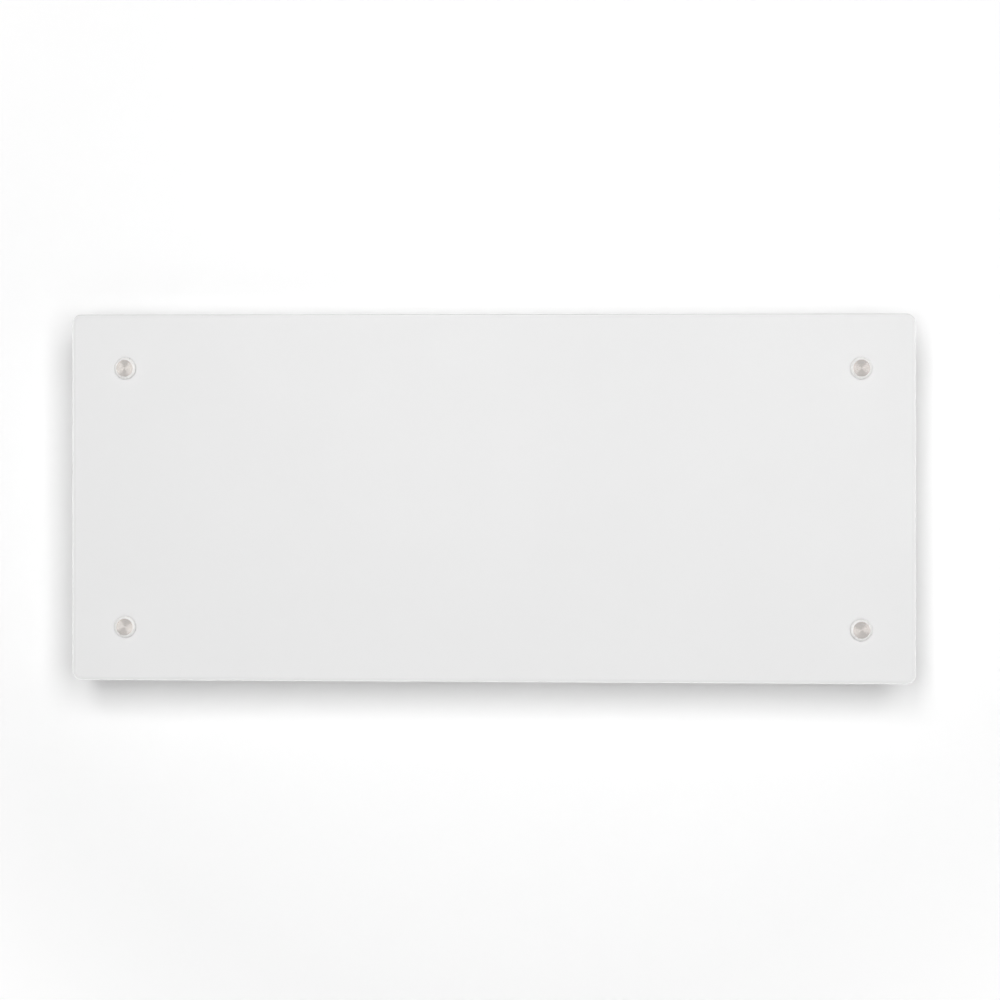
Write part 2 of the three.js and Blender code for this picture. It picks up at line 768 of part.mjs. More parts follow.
function capScrew() {
  const top = screwLength + screwHeadHeight;
  return turned([[0, 0], [screwRadius, 0], [screwRadius, screwLength], [screwHeadRadius, screwLength],
    [screwHeadRadius, top - screwHeadRound], [screwHeadRadius - screwHeadRound, top], [0, top]],
  'back', [0, 0, 0], screwSteps);
}

// Outlet grille: a frame with curved blades that throw the warm air forward
function outletBlade(y, height) {
  const curve = new THREE.QuadraticBezierCurve(new THREE.Vector2(y, 0), new THREE.Vector2(y, height / 2),
    new THREE.Vector2(y - height / 2 * Math.tan(bladeLean), height));
  return ribbon(curve.getPoints(arcSteps), () => bladeSheet);
}

function outletGrille() {
  const [length, depth] = [outletRight - outletLeft - 2 * slideGap, outletDepth - 2 * slideGap];
  const middle = (outletLeft + outletRight) / 2;
  const foot = casingTop - grilleDrop;
  const lid = stacked(length + 2 * (slideGap + grilleFlange), outletDepth + 2 * grilleFlange, grilleCorner,
    [[0, 0], [grilleLid / 2, 0], [grilleLid, grilleLid / 2]], 'up', [middle, outletY, casingTop + seat]);
  const frame = stacked(length, depth, grilleCorner / 2, [[0, 0], [grilleDrop + grilleLid, 0]], 'up',
    [middle, outletY, foot]);
  const [innerLength, innerDepth] = [length - 2 * grilleWall, depth - 2 * grilleWall];
  const well = stacked(innerLength, innerDepth, grilleCorner / 2,
    [[0, 0], [grilleDrop + 2 * grilleLid + overrun, 0]], 'up', [middle, outletY, foot - overrun / 2]);
  const reach = innerLength + grilleWall;
  const bladeHeight = grilleDrop - grilleLid;
  const pitch = innerDepth / bladeCount;
  const blades = Array.from({ length: bladeCount }, (_, i) => {
    const y = outletY + innerDepth / 2 - pitch * i - bladeSheet;
    return extruded(outletBlade(y, bladeHeight), reach, 'right', [middle - reach / 2, 0, foot]);
  });
  const halfDepth = (innerDepth + grilleWall) / 2;
  const [ribFoot, ribTop] = [foot + grilleLid, foot + bladeHeight - grilleLid];
  const half = innerLength / 2 - ribPitch / 2;
  const ribs = series(middle - half, middle + half, ribPitch).map((x) => block([x, x + ribSheet],
    [outletY - halfDepth, outletY + halfDepth], [ribFoot, ribTop]));
  return joined([lid.add(frame).subtract(well), ...blades, ...ribs, ...grilleSnaps(middle, depth)]);
}

// Snap hooks under the casing top, along both long sides of the frame
function grilleSnaps(middle, depth) {
  const top = innerTop - seat;
  const run = Math.floor((outletRight - outletLeft) / snapPitch / 2) * snapPitch;
  return series(middle - run, middle + run, snapPitch).flatMap((x) => [-1, 1].map((side) => {
    const face = outletY + side * depth / 2;
    const hook = new THREE.Shape();
    hook.moveTo(face - side * grilleWall / 2, top);
    hook.lineTo(face + side * snapReach, top);
    hook.lineTo(face, top - snapHeight);
    hook.lineTo(face - side * grilleWall / 2, top - snapHeight);
    return extruded(hook, snapLength, 'right', [x - snapLength / 2, 0, 0]);
  }));
}

// Heating element: an extruded X of curved fins round a tubular sheath, slit to let it expand
function elementArm(depth, rise) {
  const start = new THREE.Vector2(depth * hubRadius / 2, rise * hubRadius / 2);
  const elbow = new THREE.Vector2(depth * armReach, rise * slitStart);
  const tip = new THREE.Vector2(depth * armReach, rise * armRise);
  const line = new THREE.QuadraticBezierCurve(start, elbow, tip).getPoints(arcSteps);
  return ribbon(line, (share) => armRoot + (armTip - armRoot) * share);
}

function heatingElement() {
  const length = elementRight - elementLeft;
  const arms = [[-1, 1], [1, 1], [1, -1], [-1, -1]].map(([depth, rise]) => (
    extruded(elementArm(depth, rise), length, 'right', [elementLeft, 0, 0])));
  const hub = rod(hubRadius, length, 'right', [elementLeft, 0, 0]);
  const sheath = rod(sheathRadius, length + 2 * sheathEnd, 'right', [elementLeft - sheathEnd, 0, 0]);
  const width = armReach + armRoot;
  const slits = series(elementLeft + slitPitch / 2, elementRight - slitPitch / 2, slitPitch).flatMap((x) => (
    ends.map(([, end]) => block([x - slitWidth / 2, x + slitWidth / 2], [-width, width],
      [end * slitStart, end * (armRise + overrun)]))));
  return cut(joined([hub, ...arms]), slits).add(sheath);
}

function elementBush() {
  const neck = standSheet + 2 * runningGap;
  const [bore, length] = [sheathRadius + runningGap, neck + 2 * bushFlange];
  return turned([[bore, 0], [bushRadius, 0], [bushRadius, bushFlange], [bushNeck, bushFlange],
    [bushNeck, bushFlange + neck], [bushRadius, bushFlange + neck], [bushRadius, length], [bore, length],
    [bore, 0]], 'right', [-length / 2, 0, 0]);
}

// Element stand: an angle of sheet on the casing back, rounded about the sheath
function elementStand(side) {
  const backY = innerBack - seat - standSheet / 2;
  const angle = foldedSheet([[side * standFoot, backY], [0, backY], [0, backY - standReach]], standSheet);
  const strip = extruded(angle, standHeight, 'up', [0, 0, elementZ - standHeight / 2]);
  const outline = new THREE.Shape();
  outline.moveTo(innerBack, elementZ + standHeight / 2);
  outline.lineTo(innerBack - standSheet - slideGap, elementZ + standHeight / 2);
  outline.absarc(casingMiddle, elementZ, standNose, Math.PI / 2, 3 * Math.PI / 2, false);
  outline.lineTo(innerBack - standSheet - slideGap, elementZ - standHeight / 2);
  outline.lineTo(innerBack, elementZ - standHeight / 2);
  const width = 2 * (standFoot + overrun);
  const profile = extruded(outline, width, 'right', [-width / 2, 0, 0]);
  const bore = rod(bushNeck + runningGap, width, 'right', [-width / 2, casingMiddle, elementZ]);
  return strip.intersect(profile).subtract(bore);
}

// Heat shield: a thin sheet held off the casing back by its two stepped edges
function heatShield() {
  const footY = innerBack - seat - shieldSheet / 2;
  const faceY = footY - shieldLift;
  const half = shieldHeight / 2;
  const folds = [[footY, half], [footY, half - shieldFoot], [faceY, half - shieldFoot - shieldLift]];
  const upper = folds.map(([y, z]) => [y, elementZ + z]);
  const lower = folds.map(([y, z]) => [y, elementZ - z]).reverse();
  const section = foldedSheet([...upper, ...lower], shieldSheet, shieldLift / 2);
  const [left, right] = [elementLeft + shieldEndGap, elementRight - shieldEndGap];
  return extruded(section, right - left, 'right', [left, 0, 0]);
}

// Overheat cut-out: a cup with ears and two blade terminals, hung through a shelf
function thermalCutout() {
  const cup = turned([[0, -cutoutDrop], [cutoutRadius - cutoutEarSheet, -cutoutDrop],
    [cutoutRadius, cutoutEarSheet - cutoutDrop], [cutoutRadius, cutoutEarSheet],
    [cutoutCapRadius, cutoutEarSheet], [cutoutCapRadius, cutoutCap], [0, cutoutCap]], 'up', [0, 0, 0]);
  const ears = stacked(cutoutEarLength, cutoutEarWidth, cutoutEarCorner, [[0, 0], [cutoutEarSheet, 0]],
    'up', [0, 0, 0]);
  const tabs = sides.map(([, side]) => {
    const x = side * cutoutCapRadius / 2;
    return block([x, x + side * bladeTabSheet], [-bladeTabWidth / 2, bladeTabWidth / 2],
      [cutoutCap - cutoutEarSheet, cutoutCap + bladeTabHeight]);
  });
  return joined([cup, ears, ...tabs]);
}

function cutoutShelf() {
  const footY = innerBack - seat - standSheet / 2;
  const z = shelfTop - standSheet / 2;
  const angle = foldedSheet([[footY, z + shelfFoot], [footY, z], [footY - shelfReach, z]], standSheet);
  const strip = extruded(angle, shelfWidth, 'right', [-shelfWidth / 2, 0, 0]);
  const bore = rod(cutoutRadius + runningGap, 2 * overrun + standSheet, 'down',
    [0, casingMiddle, z + standSheet / 2 + overrun], turnSteps);
  return strip.subtract(bore);
}

// Control unit
function controlHousing() {
  const outer = stacked(housingWidth, housingDepth, controlCorner, [[0, controlWall], [controlWall, 0],
    [controlHeight, 0]], 'up', [0, 0, housingTop - controlHeight]);
  const inner = stacked(controlWidth, outletDepth, controlCorner - controlWall / 2,
    [[0, 0], [controlHeight + overrun, 0]], 'up', [0, 0, housingTop - controlHeight + controlWall]);
  const ledgeTop = boardTop - boardSheet - seat;
  const halfDepth = (outletDepth + controlWall) / 2;
  const ledges = sides.map(([, side]) => block(
    [side * (controlWidth / 2 - ledgeWidth), side * (controlWidth + controlWall) / 2],
    [-halfDepth, halfDepth], [ledgeTop - ledgeHeight, ledgeTop]));
  return joined([outer.subtract(inner), ...ledges]);
}

function controlFascia() {
  const lid = stacked(controlWidth + 2 * fasciaFlange, outletDepth + 2 * fasciaFlange, controlCorner,
    [[0, 0], [fasciaLid / 2, 0], [fasciaLid, fasciaLid / 2]], 'up', [0, 0, seat]);
  const plug = stacked(controlLength, controlDepth, controlCorner / 2, [[0, 0], [fasciaDrop + fasciaLid, 0]],
    'up', [0, 0, -fasciaDrop]);
  const top = seat + fasciaLid;
  const through = fasciaDrop + fasciaLid + 2 * overrun;
  const recess = stacked(windowWidth, windowDepth, buttonCorner, [[0, 0], [overrun, 0]], 'up',
    [windowX, 0, top - windowThickness - seat]);
  const sight = stacked(windowWidth - 2 * windowLedge, windowDepth - 2 * windowLedge, buttonCorner / 2,
    [[0, 0], [through, 0]], 'up', [windowX, 0, -fasciaDrop - overrun]);
  const guides = buttonPlaces.flatMap(([, x]) => {
    const grow = 2 * runningGap;
    const guide = stacked(buttonWidth + grow, buttonLength + grow, buttonCorner, [[0, 0], [through, 0]], 'up',
      [x, 0, -fasciaDrop - overrun]);
    const pocketWidth = buttonWidth + buttonFlange + grow;
    const pocketLength = buttonLength + 2 * buttonFlange + grow;
    const pocket = stacked(pocketWidth, pocketLength, buttonCorner,
      [[0, 0], [fasciaDrop - buttonFlange + overrun, 0]], 'up', [x, 0, -fasciaDrop - overrun]);
    return [guide, pocket];
  });
  return cut(lid.add(plug), [recess, sight, ...guides]);
}

function displayWindow() {
  return stacked(windowWidth - 2 * runningGap, windowDepth - 2 * runningGap, buttonCorner,
    [[0, 0], [windowThickness, 0]], 'up', [windowX, 0, seat + fasciaLid - windowThickness]);
}

function controlButton() {
  const top = seat + fasciaLid + buttonProud;
  const flangeTop = -buttonFlange - runningGap;
  const flangeFoot = flangeTop - buttonFlangeHeight;
  const cap = stacked(buttonWidth, buttonLength, buttonCorner, [[0, 0], [top - flangeFoot - buttonRound, 0],
    [top - flangeFoot, buttonRound]], 'up', [0, 0, flangeFoot]);
  const flange = stacked(buttonWidth + buttonFlange, buttonLength + 2 * buttonFlange, buttonCorner,
    [[0, 0], [buttonFlangeHeight, 0]], 'up', [0, 0, flangeFoot]);
  const plungerTop = boardTop + keySwitchHeight + keyPlungerHeight;
  const stemFoot = plungerTop + buttonTravel + seat;
  const stem = rod(buttonStem, flangeFoot - stemFoot + buttonRound, 'up', [0, 0, stemFoot]);
  return joined([cap, flange, stem]);
}

function controlBoard() {
  const board = stacked(controlLength, controlDepth, controlCorner, [[0, 0], [boardSheet, 0]], 'up',
    [0, 0, boardTop - boardSheet]);
  const keys = buttonPlaces.map(([, x]) => {
    const half = keySwitchSize / 2;
    const base = block([x - half, x + half], [-half, half],
      [boardTop - boardSheet / 2, boardTop + keySwitchHeight]);
    const plunger = rod(keyPlungerRadius, keySwitchHeight + keyPlungerHeight, 'up', [x, 0, boardTop]);
    return base.add(plunger);
  });
  return joined([board, ...keys]);
}

function displayModule() {
  const [width, depth] = [windowWidth - 2 * windowLedge, windowDepth - 2 * windowLedge];
  const levels = [[0, 0], [displayHeight - partCorner, 0], [displayHeight, partCorner]];
  return stacked(width, depth, partCorner, levels, 'up', [windowX, 0, boardTop + seat]);
}

function relay() {
  return stacked(relayWidth, relayDepth, partCorner, [[0, 0], [relayHeight - partCorner, 0],
    [relayHeight, partCorner]], 'down', [windowX, 0, boardTop - boardSheet - seat]);
}

function supplyCapacitor() {
  const [shoulder, neck] = [capacitorRadius - partCorner, capacitorHeight * capacitorNeckShare];
  return turned([[0, 0], [capacitorRadius, 0], [capacitorRadius, neck - partCorner], [shoulder, neck],
    [capacitorRadius, neck + partCorner], [capacitorRadius, capacitorHeight - partCorner],
    [shoulder, capacitorHeight], [0, capacitorHeight]],
  'down', [modeButtonX, 0, boardTop - boardSheet - seat]);
}

function radioModule() {
  const [x, y] = [controlLength / 2 - radioWidth / 2 - seat, controlDepth / 2 - radioDepth / 2 - seat];
  const board = stacked(radioWidth, radioDepth, partCorner, [[0, 0], [radioSheet, 0]], 'up',
    [x, y, boardTop + seat]);
  const can = stacked(radioWidth * radioCanShare, radioDepth * radioCanShare, partCorner,
    [[0, 0], [radioSheet + radioCanHeight, 0]], 'up', [x, y, boardTop + seat]);
  return board.add(can);
}

// Rocker switch: its own origin is on the rocker's pivot
function switchBody() {
  const face = pivotDepth + seat;
  const bezel = stacked(bezelWidth, bezelHeight, bezelCorner, [[0, 0], [bezelThickness - bezelRound, 0],
    [bezelThickness, bezelRound]], 'right', [face, 0, 0]);
  const rear = face - barrelDepth;
  const barrel = stacked(barrelWidth, barrelHeight, bezelCorner / 2,
    [[0, 0], [barrelDepth + bezelThickness / 2, 0]], 'right', [rear, 0, 0]);
  const wellWidth = barrelWidth - 2 * barrelWall;
  const pocket = stacked(wellWidth, barrelHeight - 2 * barrelWall, bezelCorner / 2,
    [[0, 0], [barrelDepth + bezelThickness + overrun, 0]], 'right', [rear + barrelFloor, 0, 0]);
  const axle = wellWidth + 2 * (trunnionLength + runningGap);
  const sockets = rod(trunnionRadius + runningGap, axle, 'front', [0, axle / 2, 0]);
  const tabs = ends.map(([, end]) => block([rear - bladeTabHeight, rear + barrelFloor / 2],
    [-bladeTabWidth / 2, bladeTabWidth / 2], [end * switchTabPlace, end * (switchTabPlace + bladeTabSheet)]));
  return joined([bezel.add(barrel).subtract(pocket).subtract(sockets), ...tabs]);
}

function switchRocker() {
  const reach = barrelHeight / 2 - barrelWall - rockerEndGap;
  const shape = new THREE.Shape();
  shape.moveTo(rockerMidRise, 0);
  shape.lineTo(rockerEndRise, reach);
  shape.lineTo(-rockerEndDrop, reach);
  shape.absarc(0, 0, rockerHubRadius, 2 * Math.PI / 3, 4 * Math.PI / 3, false);
  shape.lineTo(-rockerEndDrop, -reach);
  shape.lineTo(rockerEndRise, -reach);
  const width = barrelWidth - 2 * barrelWall - 2 * runningGap;
  const axle = width + 2 * (runningGap + trunnionLength);
  const trunnions = rod(trunnionRadius, axle, 'front', [0, axle / 2, 0]);
  return extruded(shape, width, 'front', [0, width / 2, 0]).add(trunnions);
}

// Supply gland: a threaded body with a dome outside and a lock nut inside, bored through
function cableGland() {
  const outside = casingBottom - seat;
  const inside = innerBottom + seat;
  const hexFoot = outside - glandHexHeight;
  const foot = hexFoot - glandDomeHeight;
  const hexagon = (low, high) => rod(glandHex, high - low, 'up', [0, 0, low], hexSides);
  const hex = hexagon(hexFoot, outside);
  const nut = hexagon(inside, inside + glandNutHeight);
  const top = inside + glandNutHeight + glandLip;
  const core = turned([[0, foot], [glandBore + glandLip, foot], [glandDomeRadius, foot + glandDomeFoot],
    [glandDomeRadius, hexFoot], [glandThread, hexFoot], [glandThread, top], [0, top]], 'up', [0, 0, 0]);
  const length = top - foot + 2 * overrun;
  return joined([hex, nut, core]).subtract(rod(glandBore, length, 'up', [0, 0, foot - overrun]));
}

// Terminal block: a stepped bar with a screw pocket over each pole
function terminalBlock() {
  const [half, step] = [blockDepth / 2, blockHeight - blockStep];
  const outline = [[-half, 0], [half, 0], [half, step], [half / 2, step], [half / 2, blockHeight],
    [-half / 2, blockHeight], [-half / 2, step], [-half, step]];
  const section = new THREE.Shape(outline.map(([y, z]) => new THREE.Vector2(y, z)));
  const bar = extruded(section, blockLength, 'right', [-blockLength / 2, 0, 0]);
  const pole = blockLength / blockPoles;
  const pockets = Array.from({ length: blockPoles }, (_, i) => {
    const x = (pole - blockLength) / 2 + i * pole;
    return rod(blockScrewRadius, blockScrewDepth + overrun, 'down', [x, 0, blockHeight + overrun]);
  });
  return cut(bar, pockets);
}

// Room sensor: a probe that looks out under the casing
function roomSensor() {
  const [tip, flange] = [casingBottom - sensorDrop, innerBottom + seat];
  const half = sensorRadius / 2;
  return turned([[0, tip], [half, tip], [sensorRadius, tip + half], [sensorRadius, flange],
    [sensorFlangeRadius, flange], [sensorFlangeRadius, flange + sensorFlange],
    [sensorRadius, flange + sensorFlange], [sensorRadius, flange + sensorBody], [0, flange + sensorBody]],
  'up', [0, 0, 0]);
}

// Sleeved leads: a round section along a route with rounded corners
function lead(turningPoints, radius) {
  const path = new THREE.CurvePath();
  const points = turningPoints.map((point) => new THREE.Vector3(...point));
  let from = points[0];
  points.slice(1, -1).forEach((corner, i) => {
    const start = corner.clone().sub(points[i]).setLength(-leadBend).add(corner);
    const end = points[i + 2].clone().sub(corner).setLength(leadBend).add(corner);
    path.add(new THREE.LineCurve3(from, start));
    path.add(new THREE.QuadraticBezierCurve3(start, corner, end));
    from = end;
  });
  path.add(new THREE.LineCurve3(from, points.at(-1)));
  const section = new THREE.Shape().absarc(0, 0, radius, 0, 2 * Math.PI, false);
  const rings = Math.ceil(path.getLength() / leadStep);
  const settings = { steps: rings, extrudePath: path, curveSegments: leadSides / 2, bevelEnabled: false };
  return solid(new THREE.ExtrudeGeometry(section, settings));
}

function elementLeads() {
  const blockTop = blockBottom + blockHeight + seat;
  const sideZ = blockBottom + (blockHeight - blockStep) / 2;
  const pole = blockLength / blockPoles;
  const [leftX, rightX] = [elementLeft - sheathEnd - seat, elementRight + sheathEnd + seat];
  const liveX = blockX - pole / 2;
  const returnX = leftX - leadOut;
  const live = lead([[rightX, casingMiddle, elementZ], [liveX, casingMiddle, elementZ],
    [liveX, casingMiddle, blockTop]], leadRadius);
  const neutral = lead([[leftX, casingMiddle, elementZ], [returnX, casingMiddle, elementZ],
    [returnX, casingMiddle, sideZ], [blockLeft - seat, casingMiddle, sideZ]], leadRadius);
  const [supplyX, housingX] = [blockX + pole / 2, controlX - supplyLeadPlace];
  const floor = casingTop + housingTop - controlHeight - seat;
  const turnZ = floor - supplyLeadDrop;
  const supply = lead([[supplyX, casingMiddle, blockTop], [supplyX, casingMiddle, turnZ],
    [housingX, casingMiddle, turnZ], [housingX, casingMiddle, floor]], supplyLeadRadius);
  return [piece('element_lead_live', live, leadSleeve), piece('element_lead_neutral', neutral, leadSleeve),
    piece('supply_lead', supply, leadSleeve)];
}

// Glass front: a panel with a ground bevel round its face, carried on four knobs
function glassPanel() {
  const levels = [[0, glassArris], [glassArris, 0], [glassThickness - glassBevelDepth, 0],
    [glassThickness, glassBevelWidth]];
  const panel = stacked(glassWidth, glassHeight, glassCorner, levels, 'front', [0, glassBack, 0],
    cornerSteps);
  const depth = glassThickness + 2 * overrun;
  const hole = rod(collarRadius + runningGap, depth, 'front', [0, glassBack + overrun, 0]);
  return cut(panel, knobPlaces.map(([, x, z]) => hole.translate([x, 0, z])));
}

function glassKnob() {
  const shoulder = knobHeight - knobPipDepth;
  return turned([[0, -studLength], [studRadius, -studLength], [studRadius, 0], [knobRadius, 0],
    [knobRadius, knobRim], [knobFaceRadius, knobHeight], [knobPipRadius, knobHeight], [0, shoulder]],
  'front', [0, 0, 0], turnSteps);
}

function knobWasher() {
  const bore = studRadius + runningGap;
  return turned([[bore, -collarLength], [collarRadius, -collarLength], [collarRadius, 0], [washerRadius, 0],
    [washerRadius, washerThickness], [bore, washerThickness], [bore, -collarLength]], 'front', [0, 0, 0]);
}

function glassSpacer() {
  const bore = studRadius + runningGap;
  return turned([[bore, -spigotLength], [spigotRadius, -spigotLength], [spigotRadius, 0],
    [spacerRadius, 0], [spacerRadius, spacerLength - spacerChamfer],
    [spacerRadius - spacerChamfer, spacerLength], [bore, spacerLength], [bore, -spigotLength]],
  'front', [0, 0, 0]);
}

function group(place, ...pieces) {
  const assembly = new THREE.Group();
  assembly.position.set(...place);
  assembly.add(...pieces);
  return assembly;
}

// Assemblies
const wallSide = group([0, 0, 0], piece('wall_bracket', wallBracket(), galvanised));
sides.forEach(([side, x]) => {
  wallSide.add(piece(`catch_${side}`, slidingCatch(), zincPlate, [x * uprightX, 0, 0]));
  wallSide.add(piece(`catch_rivet_${side}`, catchRivet(), zincPlate, [x * uprightX, 0, rivetZ]));
});

const casing = group([0, 0, 0],
  piece('rear_casing', rearCasing(), whitePaint),
  piece('front_plate', frontPlate(), whitePaint),
  piece('left_end_cap', endCap('left', -1), whitePlastic),
  piece('right_end_cap', rightEndCap(), whitePlastic),
  piece('outlet_grille', outletGrille(), whitePlastic));
cornerPlaces.forEach(([name, x, z]) => {
  const screwTip = casingBack + seat - screwLength;
  casing.add(piece(`cap_screw_${name}`, capScrew(), zincPlate, [x * screwX, screwTip, z * screwZ]));
});
sides.forEach(([side, x]) => {
  casing.add(piece(`hanger_${side}`, hanger(), galvanised, [x * uprightX, 0, 0]));
  casing.add(piece(`hanger_pin_${side}`, hingePin(), zincPlate, [x * uprightX, pinY, pinZ]));
  casing.add(piece(`striker_${side}`, striker(), galvanised, [x * uprightX, 0, 0]));
});

const heating = group([0, 0, 0],
  piece('heating_element', heatingElement(), aluminium, [0, casingMiddle, elementZ]),
  piece('heat_shield', heatShield(), aluminium),
  piece('thermal_cutout', thermalCutout(), blackPlastic, [cutoutX, casingMiddle, shelfTop + seat]),
  piece('cutout_shelf', cutoutShelf(), galvanised, [cutoutX, 0, 0]),
  ...elementLeads());
sides.forEach(([side, x]) => {
  const standX = (x > 0 ? elementRight : elementLeft) + x * sheathEnd / 2;
  heating.add(piece(`element_stand_${side}`, elementStand(x), galvanised, [standX, 0, 0]));
  heating.add(piece(`element_bush_${side}`, elementBush(), silicone, [standX, casingMiddle, elementZ]));
});

const supply = group([0, casingMiddle, 0],
  piece('cable_gland', cableGland(), blackPlastic, [glandX, 0, 0]),
  piece('terminal_block', terminalBlock(), whitePlastic, [blockX, 0, blockBottom]),
  piece('room_sensor', roomSensor(), greyPlastic, [sensorX, 0, 0]));

const controlUnit = group([controlX, outletY, casingTop],
  piece('control_housing', controlHousing(), whitePlastic),
  piece('control_fascia', controlFascia(), whitePlastic),
  piece('display_window', displayWindow(), smokedPlastic),
  piece('display_module', displayModule(), blackPlastic),
  piece('control_board', controlBoard(), boardGreen),
  piece('relay', relay(), greyPlastic),
  piece('supply_capacitor', supplyCapacitor(), blackPlastic),
  piece('radio_module', radioModule(), boardGreen));
buttonPlaces.forEach(([name, x]) => {
  controlUnit.add(piece(`button_${name}`, controlButton(), greyPlastic, [x, 0, 0]));
});

const rocker = piece('switch_rocker', switchRocker(), blackPlastic);
rocker.rotation.y = -rockerTilt;
const powerSwitch = group([casingWidth / 2 - pivotDepth, casingMiddle, casingBottom + switchRise],
  piece('switch_body', switchBody(), blackPlastic), rocker);

const glassFront = group([0, 0, 0], piece('glass_panel', glassPanel(), whiteGlass));
knobPlaces.forEach(([name, x, z]) => {
  glassFront.add(piece(`glass_knob_${name}`, glassKnob(), stainless, [x, knobBase, z]));
  glassFront.add(piece(`knob_washer_${name}`, knobWasher(), clearPlastic, [x, glassFace - seat, z]));
  glassFront.add(piece(`glass_spacer_${name}`, glassSpacer(), aluminium, [x, bossTop - seat, z]));
});

export default group([0, 0, 0], wallSide, casing, heating, supply, controlUnit, powerSwitch, glassFront);
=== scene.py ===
import json
import math
from bisect import bisect
from itertools import accumulate

import bmesh
import bpy
from mathutils import Matrix, Vector


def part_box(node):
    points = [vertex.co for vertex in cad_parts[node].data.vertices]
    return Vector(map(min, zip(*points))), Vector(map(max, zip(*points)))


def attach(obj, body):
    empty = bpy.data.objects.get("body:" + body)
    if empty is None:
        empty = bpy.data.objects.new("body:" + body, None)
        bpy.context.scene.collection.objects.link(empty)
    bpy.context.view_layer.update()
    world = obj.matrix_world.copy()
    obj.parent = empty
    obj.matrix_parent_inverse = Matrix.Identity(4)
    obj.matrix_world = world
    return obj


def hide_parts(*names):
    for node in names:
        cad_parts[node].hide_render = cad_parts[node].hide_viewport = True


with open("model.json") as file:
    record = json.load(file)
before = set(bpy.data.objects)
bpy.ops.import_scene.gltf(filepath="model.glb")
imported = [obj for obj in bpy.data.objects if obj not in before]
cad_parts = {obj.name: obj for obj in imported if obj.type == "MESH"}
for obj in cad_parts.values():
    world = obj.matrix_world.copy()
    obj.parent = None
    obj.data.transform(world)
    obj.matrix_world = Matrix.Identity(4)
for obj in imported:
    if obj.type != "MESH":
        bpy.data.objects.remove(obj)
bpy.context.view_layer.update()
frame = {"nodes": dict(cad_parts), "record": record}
bodyRows = frame["record"]["behaviour"]["bodies"]
bodyOf = {node: body for body, nodes in bodyRows.items() for node in nodes}
slotOf = {row["node"]: row["material_slot"] for row in frame["record"]["subparts"]}
mm = 0.001  # shapes are drawn in millimetres and made in metres
print("frame loaded:", len(frame["nodes"]), "pieces")

# Camera, at the photograph's angle

camera = {
    "place": Vector((0.096, -2.2, 0.1045)),
    "yawDegrees": 2.371,
    "lens": 82.5,
    "sensor": 36,
    "shiftUp": -0.115,
    "farthest": 40,
}


def linked(item):
    bpy.context.scene.collection.objects.link(item)
    return item


def makeCamera():
    data = bpy.data.cameras.new("camera")
    data.lens = camera["lens"]
    data.sensor_width = camera["sensor"]
    data.shift_y = camera["shiftUp"]
    data.clip_end = camera["farthest"]
    item = linked(bpy.data.objects.new("camera", data))
    item.location = camera["place"]
    item.rotation_euler = (math.radians(90), 0, math.radians(camera["yawDegrees"]))
    bpy.context.scene.camera = item


makeCamera()

# Shader helpers


def emptyTree(owner):
    owner.use_nodes = True
    owner.node_tree.nodes.clear()
    return owner.node_tree


def addNode(tree, kind, inputs=None, **settings):
    node = tree.nodes.new(kind)
    for name, value in settings.items():
        setattr(node, name, value)
    for name, value in (inputs or {}).items():
        socket = node.inputs[name]
        if isinstance(value, bpy.types.NodeSocket):
            tree.links.new(value, socket)
        else:
            socket.default_value = value
    return node


def grey(value):
    return (value, value, value, 1.0)


def maths(tree, operation, *values):
    return addNode(tree, "ShaderNodeMath", dict(enumerate(values)), operation=operation).outputs[0]


def mixed(tree, share, first, second):
    sockets = {"Factor": share, "A": first, "B": second}
    return addNode(tree, "ShaderNodeMix", sockets, data_type="RGBA").outputs["Result"]


# 1 for rays that show the surroundings, 0 for rays that light by them
def showingRays(tree):
    path = addNode(tree, "ShaderNodeLightPath").outputs
    seen = maths(tree, "MAXIMUM", path["Is Camera Ray"], path["Is Glossy Ray"])
    return maths(tree, "MAXIMUM", seen, path["Is Transmission Ray"])


# Stage: a pale wall and floor that show white and keep the shadow. Far from the piece they fade to plain
# white. Both are clear from behind, and the wall lets the back light through where the piece hangs.

stage = {
    "wallPlace": 1.0 * mm,
    "wallWidth": 9.0,
    "wallHeight": 5.0,
    "floorDrop": 0.85,
    "floorDepth": 7.0,
    "paleness": 0.5,
    "shownWhite": {"paleWall": 1.03, "paleFloor": 1.6},
    "fade": {"paleWall": (0.5, 0.7), "paleFloor": (0.95, 1.5)},
    "windowWidth": 0.76,
    "windowHeight": 0.34,
}


def stageMaterial(name):
    material = bpy.data.materials.new(name)
    tree = emptyTree(material)
    place = addNode(tree, "ShaderNodeTexCoord").outputs["Object"]
    showing = showingRays(tree)
    colour = mixed(tree, showing, grey(stage["paleness"]), grey(stage["shownWhite"][name]))
    paintwork = addNode(tree, "ShaderNodeBsdfDiffuse", {"Color": colour}).outputs[0]
    reach = addNode(tree, "ShaderNodeVectorMath", {0: place}, operation="LENGTH").outputs["Value"]
    start, end = stage["fade"][name]
    far = addNode(tree, "ShaderNodeMapRange", {"Value": reach, "From Min": start, "From Max": end}).outputs[0]
    white = addNode(tree, "ShaderNodeEmission", {"Color": grey(1.0), "Strength": 1.0}).outputs[0]
    sockets = {0: maths(tree, "MULTIPLY", far, showing), 1: paintwork, 2: white}
    shader = addNode(tree, "ShaderNodeMixShader", sockets).outputs[0]
    clear = addNode(tree, "ShaderNodeBsdfTransparent").outputs[0]
    share = addNode(tree, "ShaderNodeNewGeometry").outputs["Backfacing"]
    if name == "paleWall":
        share = maths(tree, "MAXIMUM", share, windowShare(tree, place))
    shader = addNode(tree, "ShaderNodeMixShader", {0: share, 1: shader, 2: clear}).outputs[0]
    addNode(tree, "ShaderNodeOutputMaterial", {"Surface": shader})
    return material


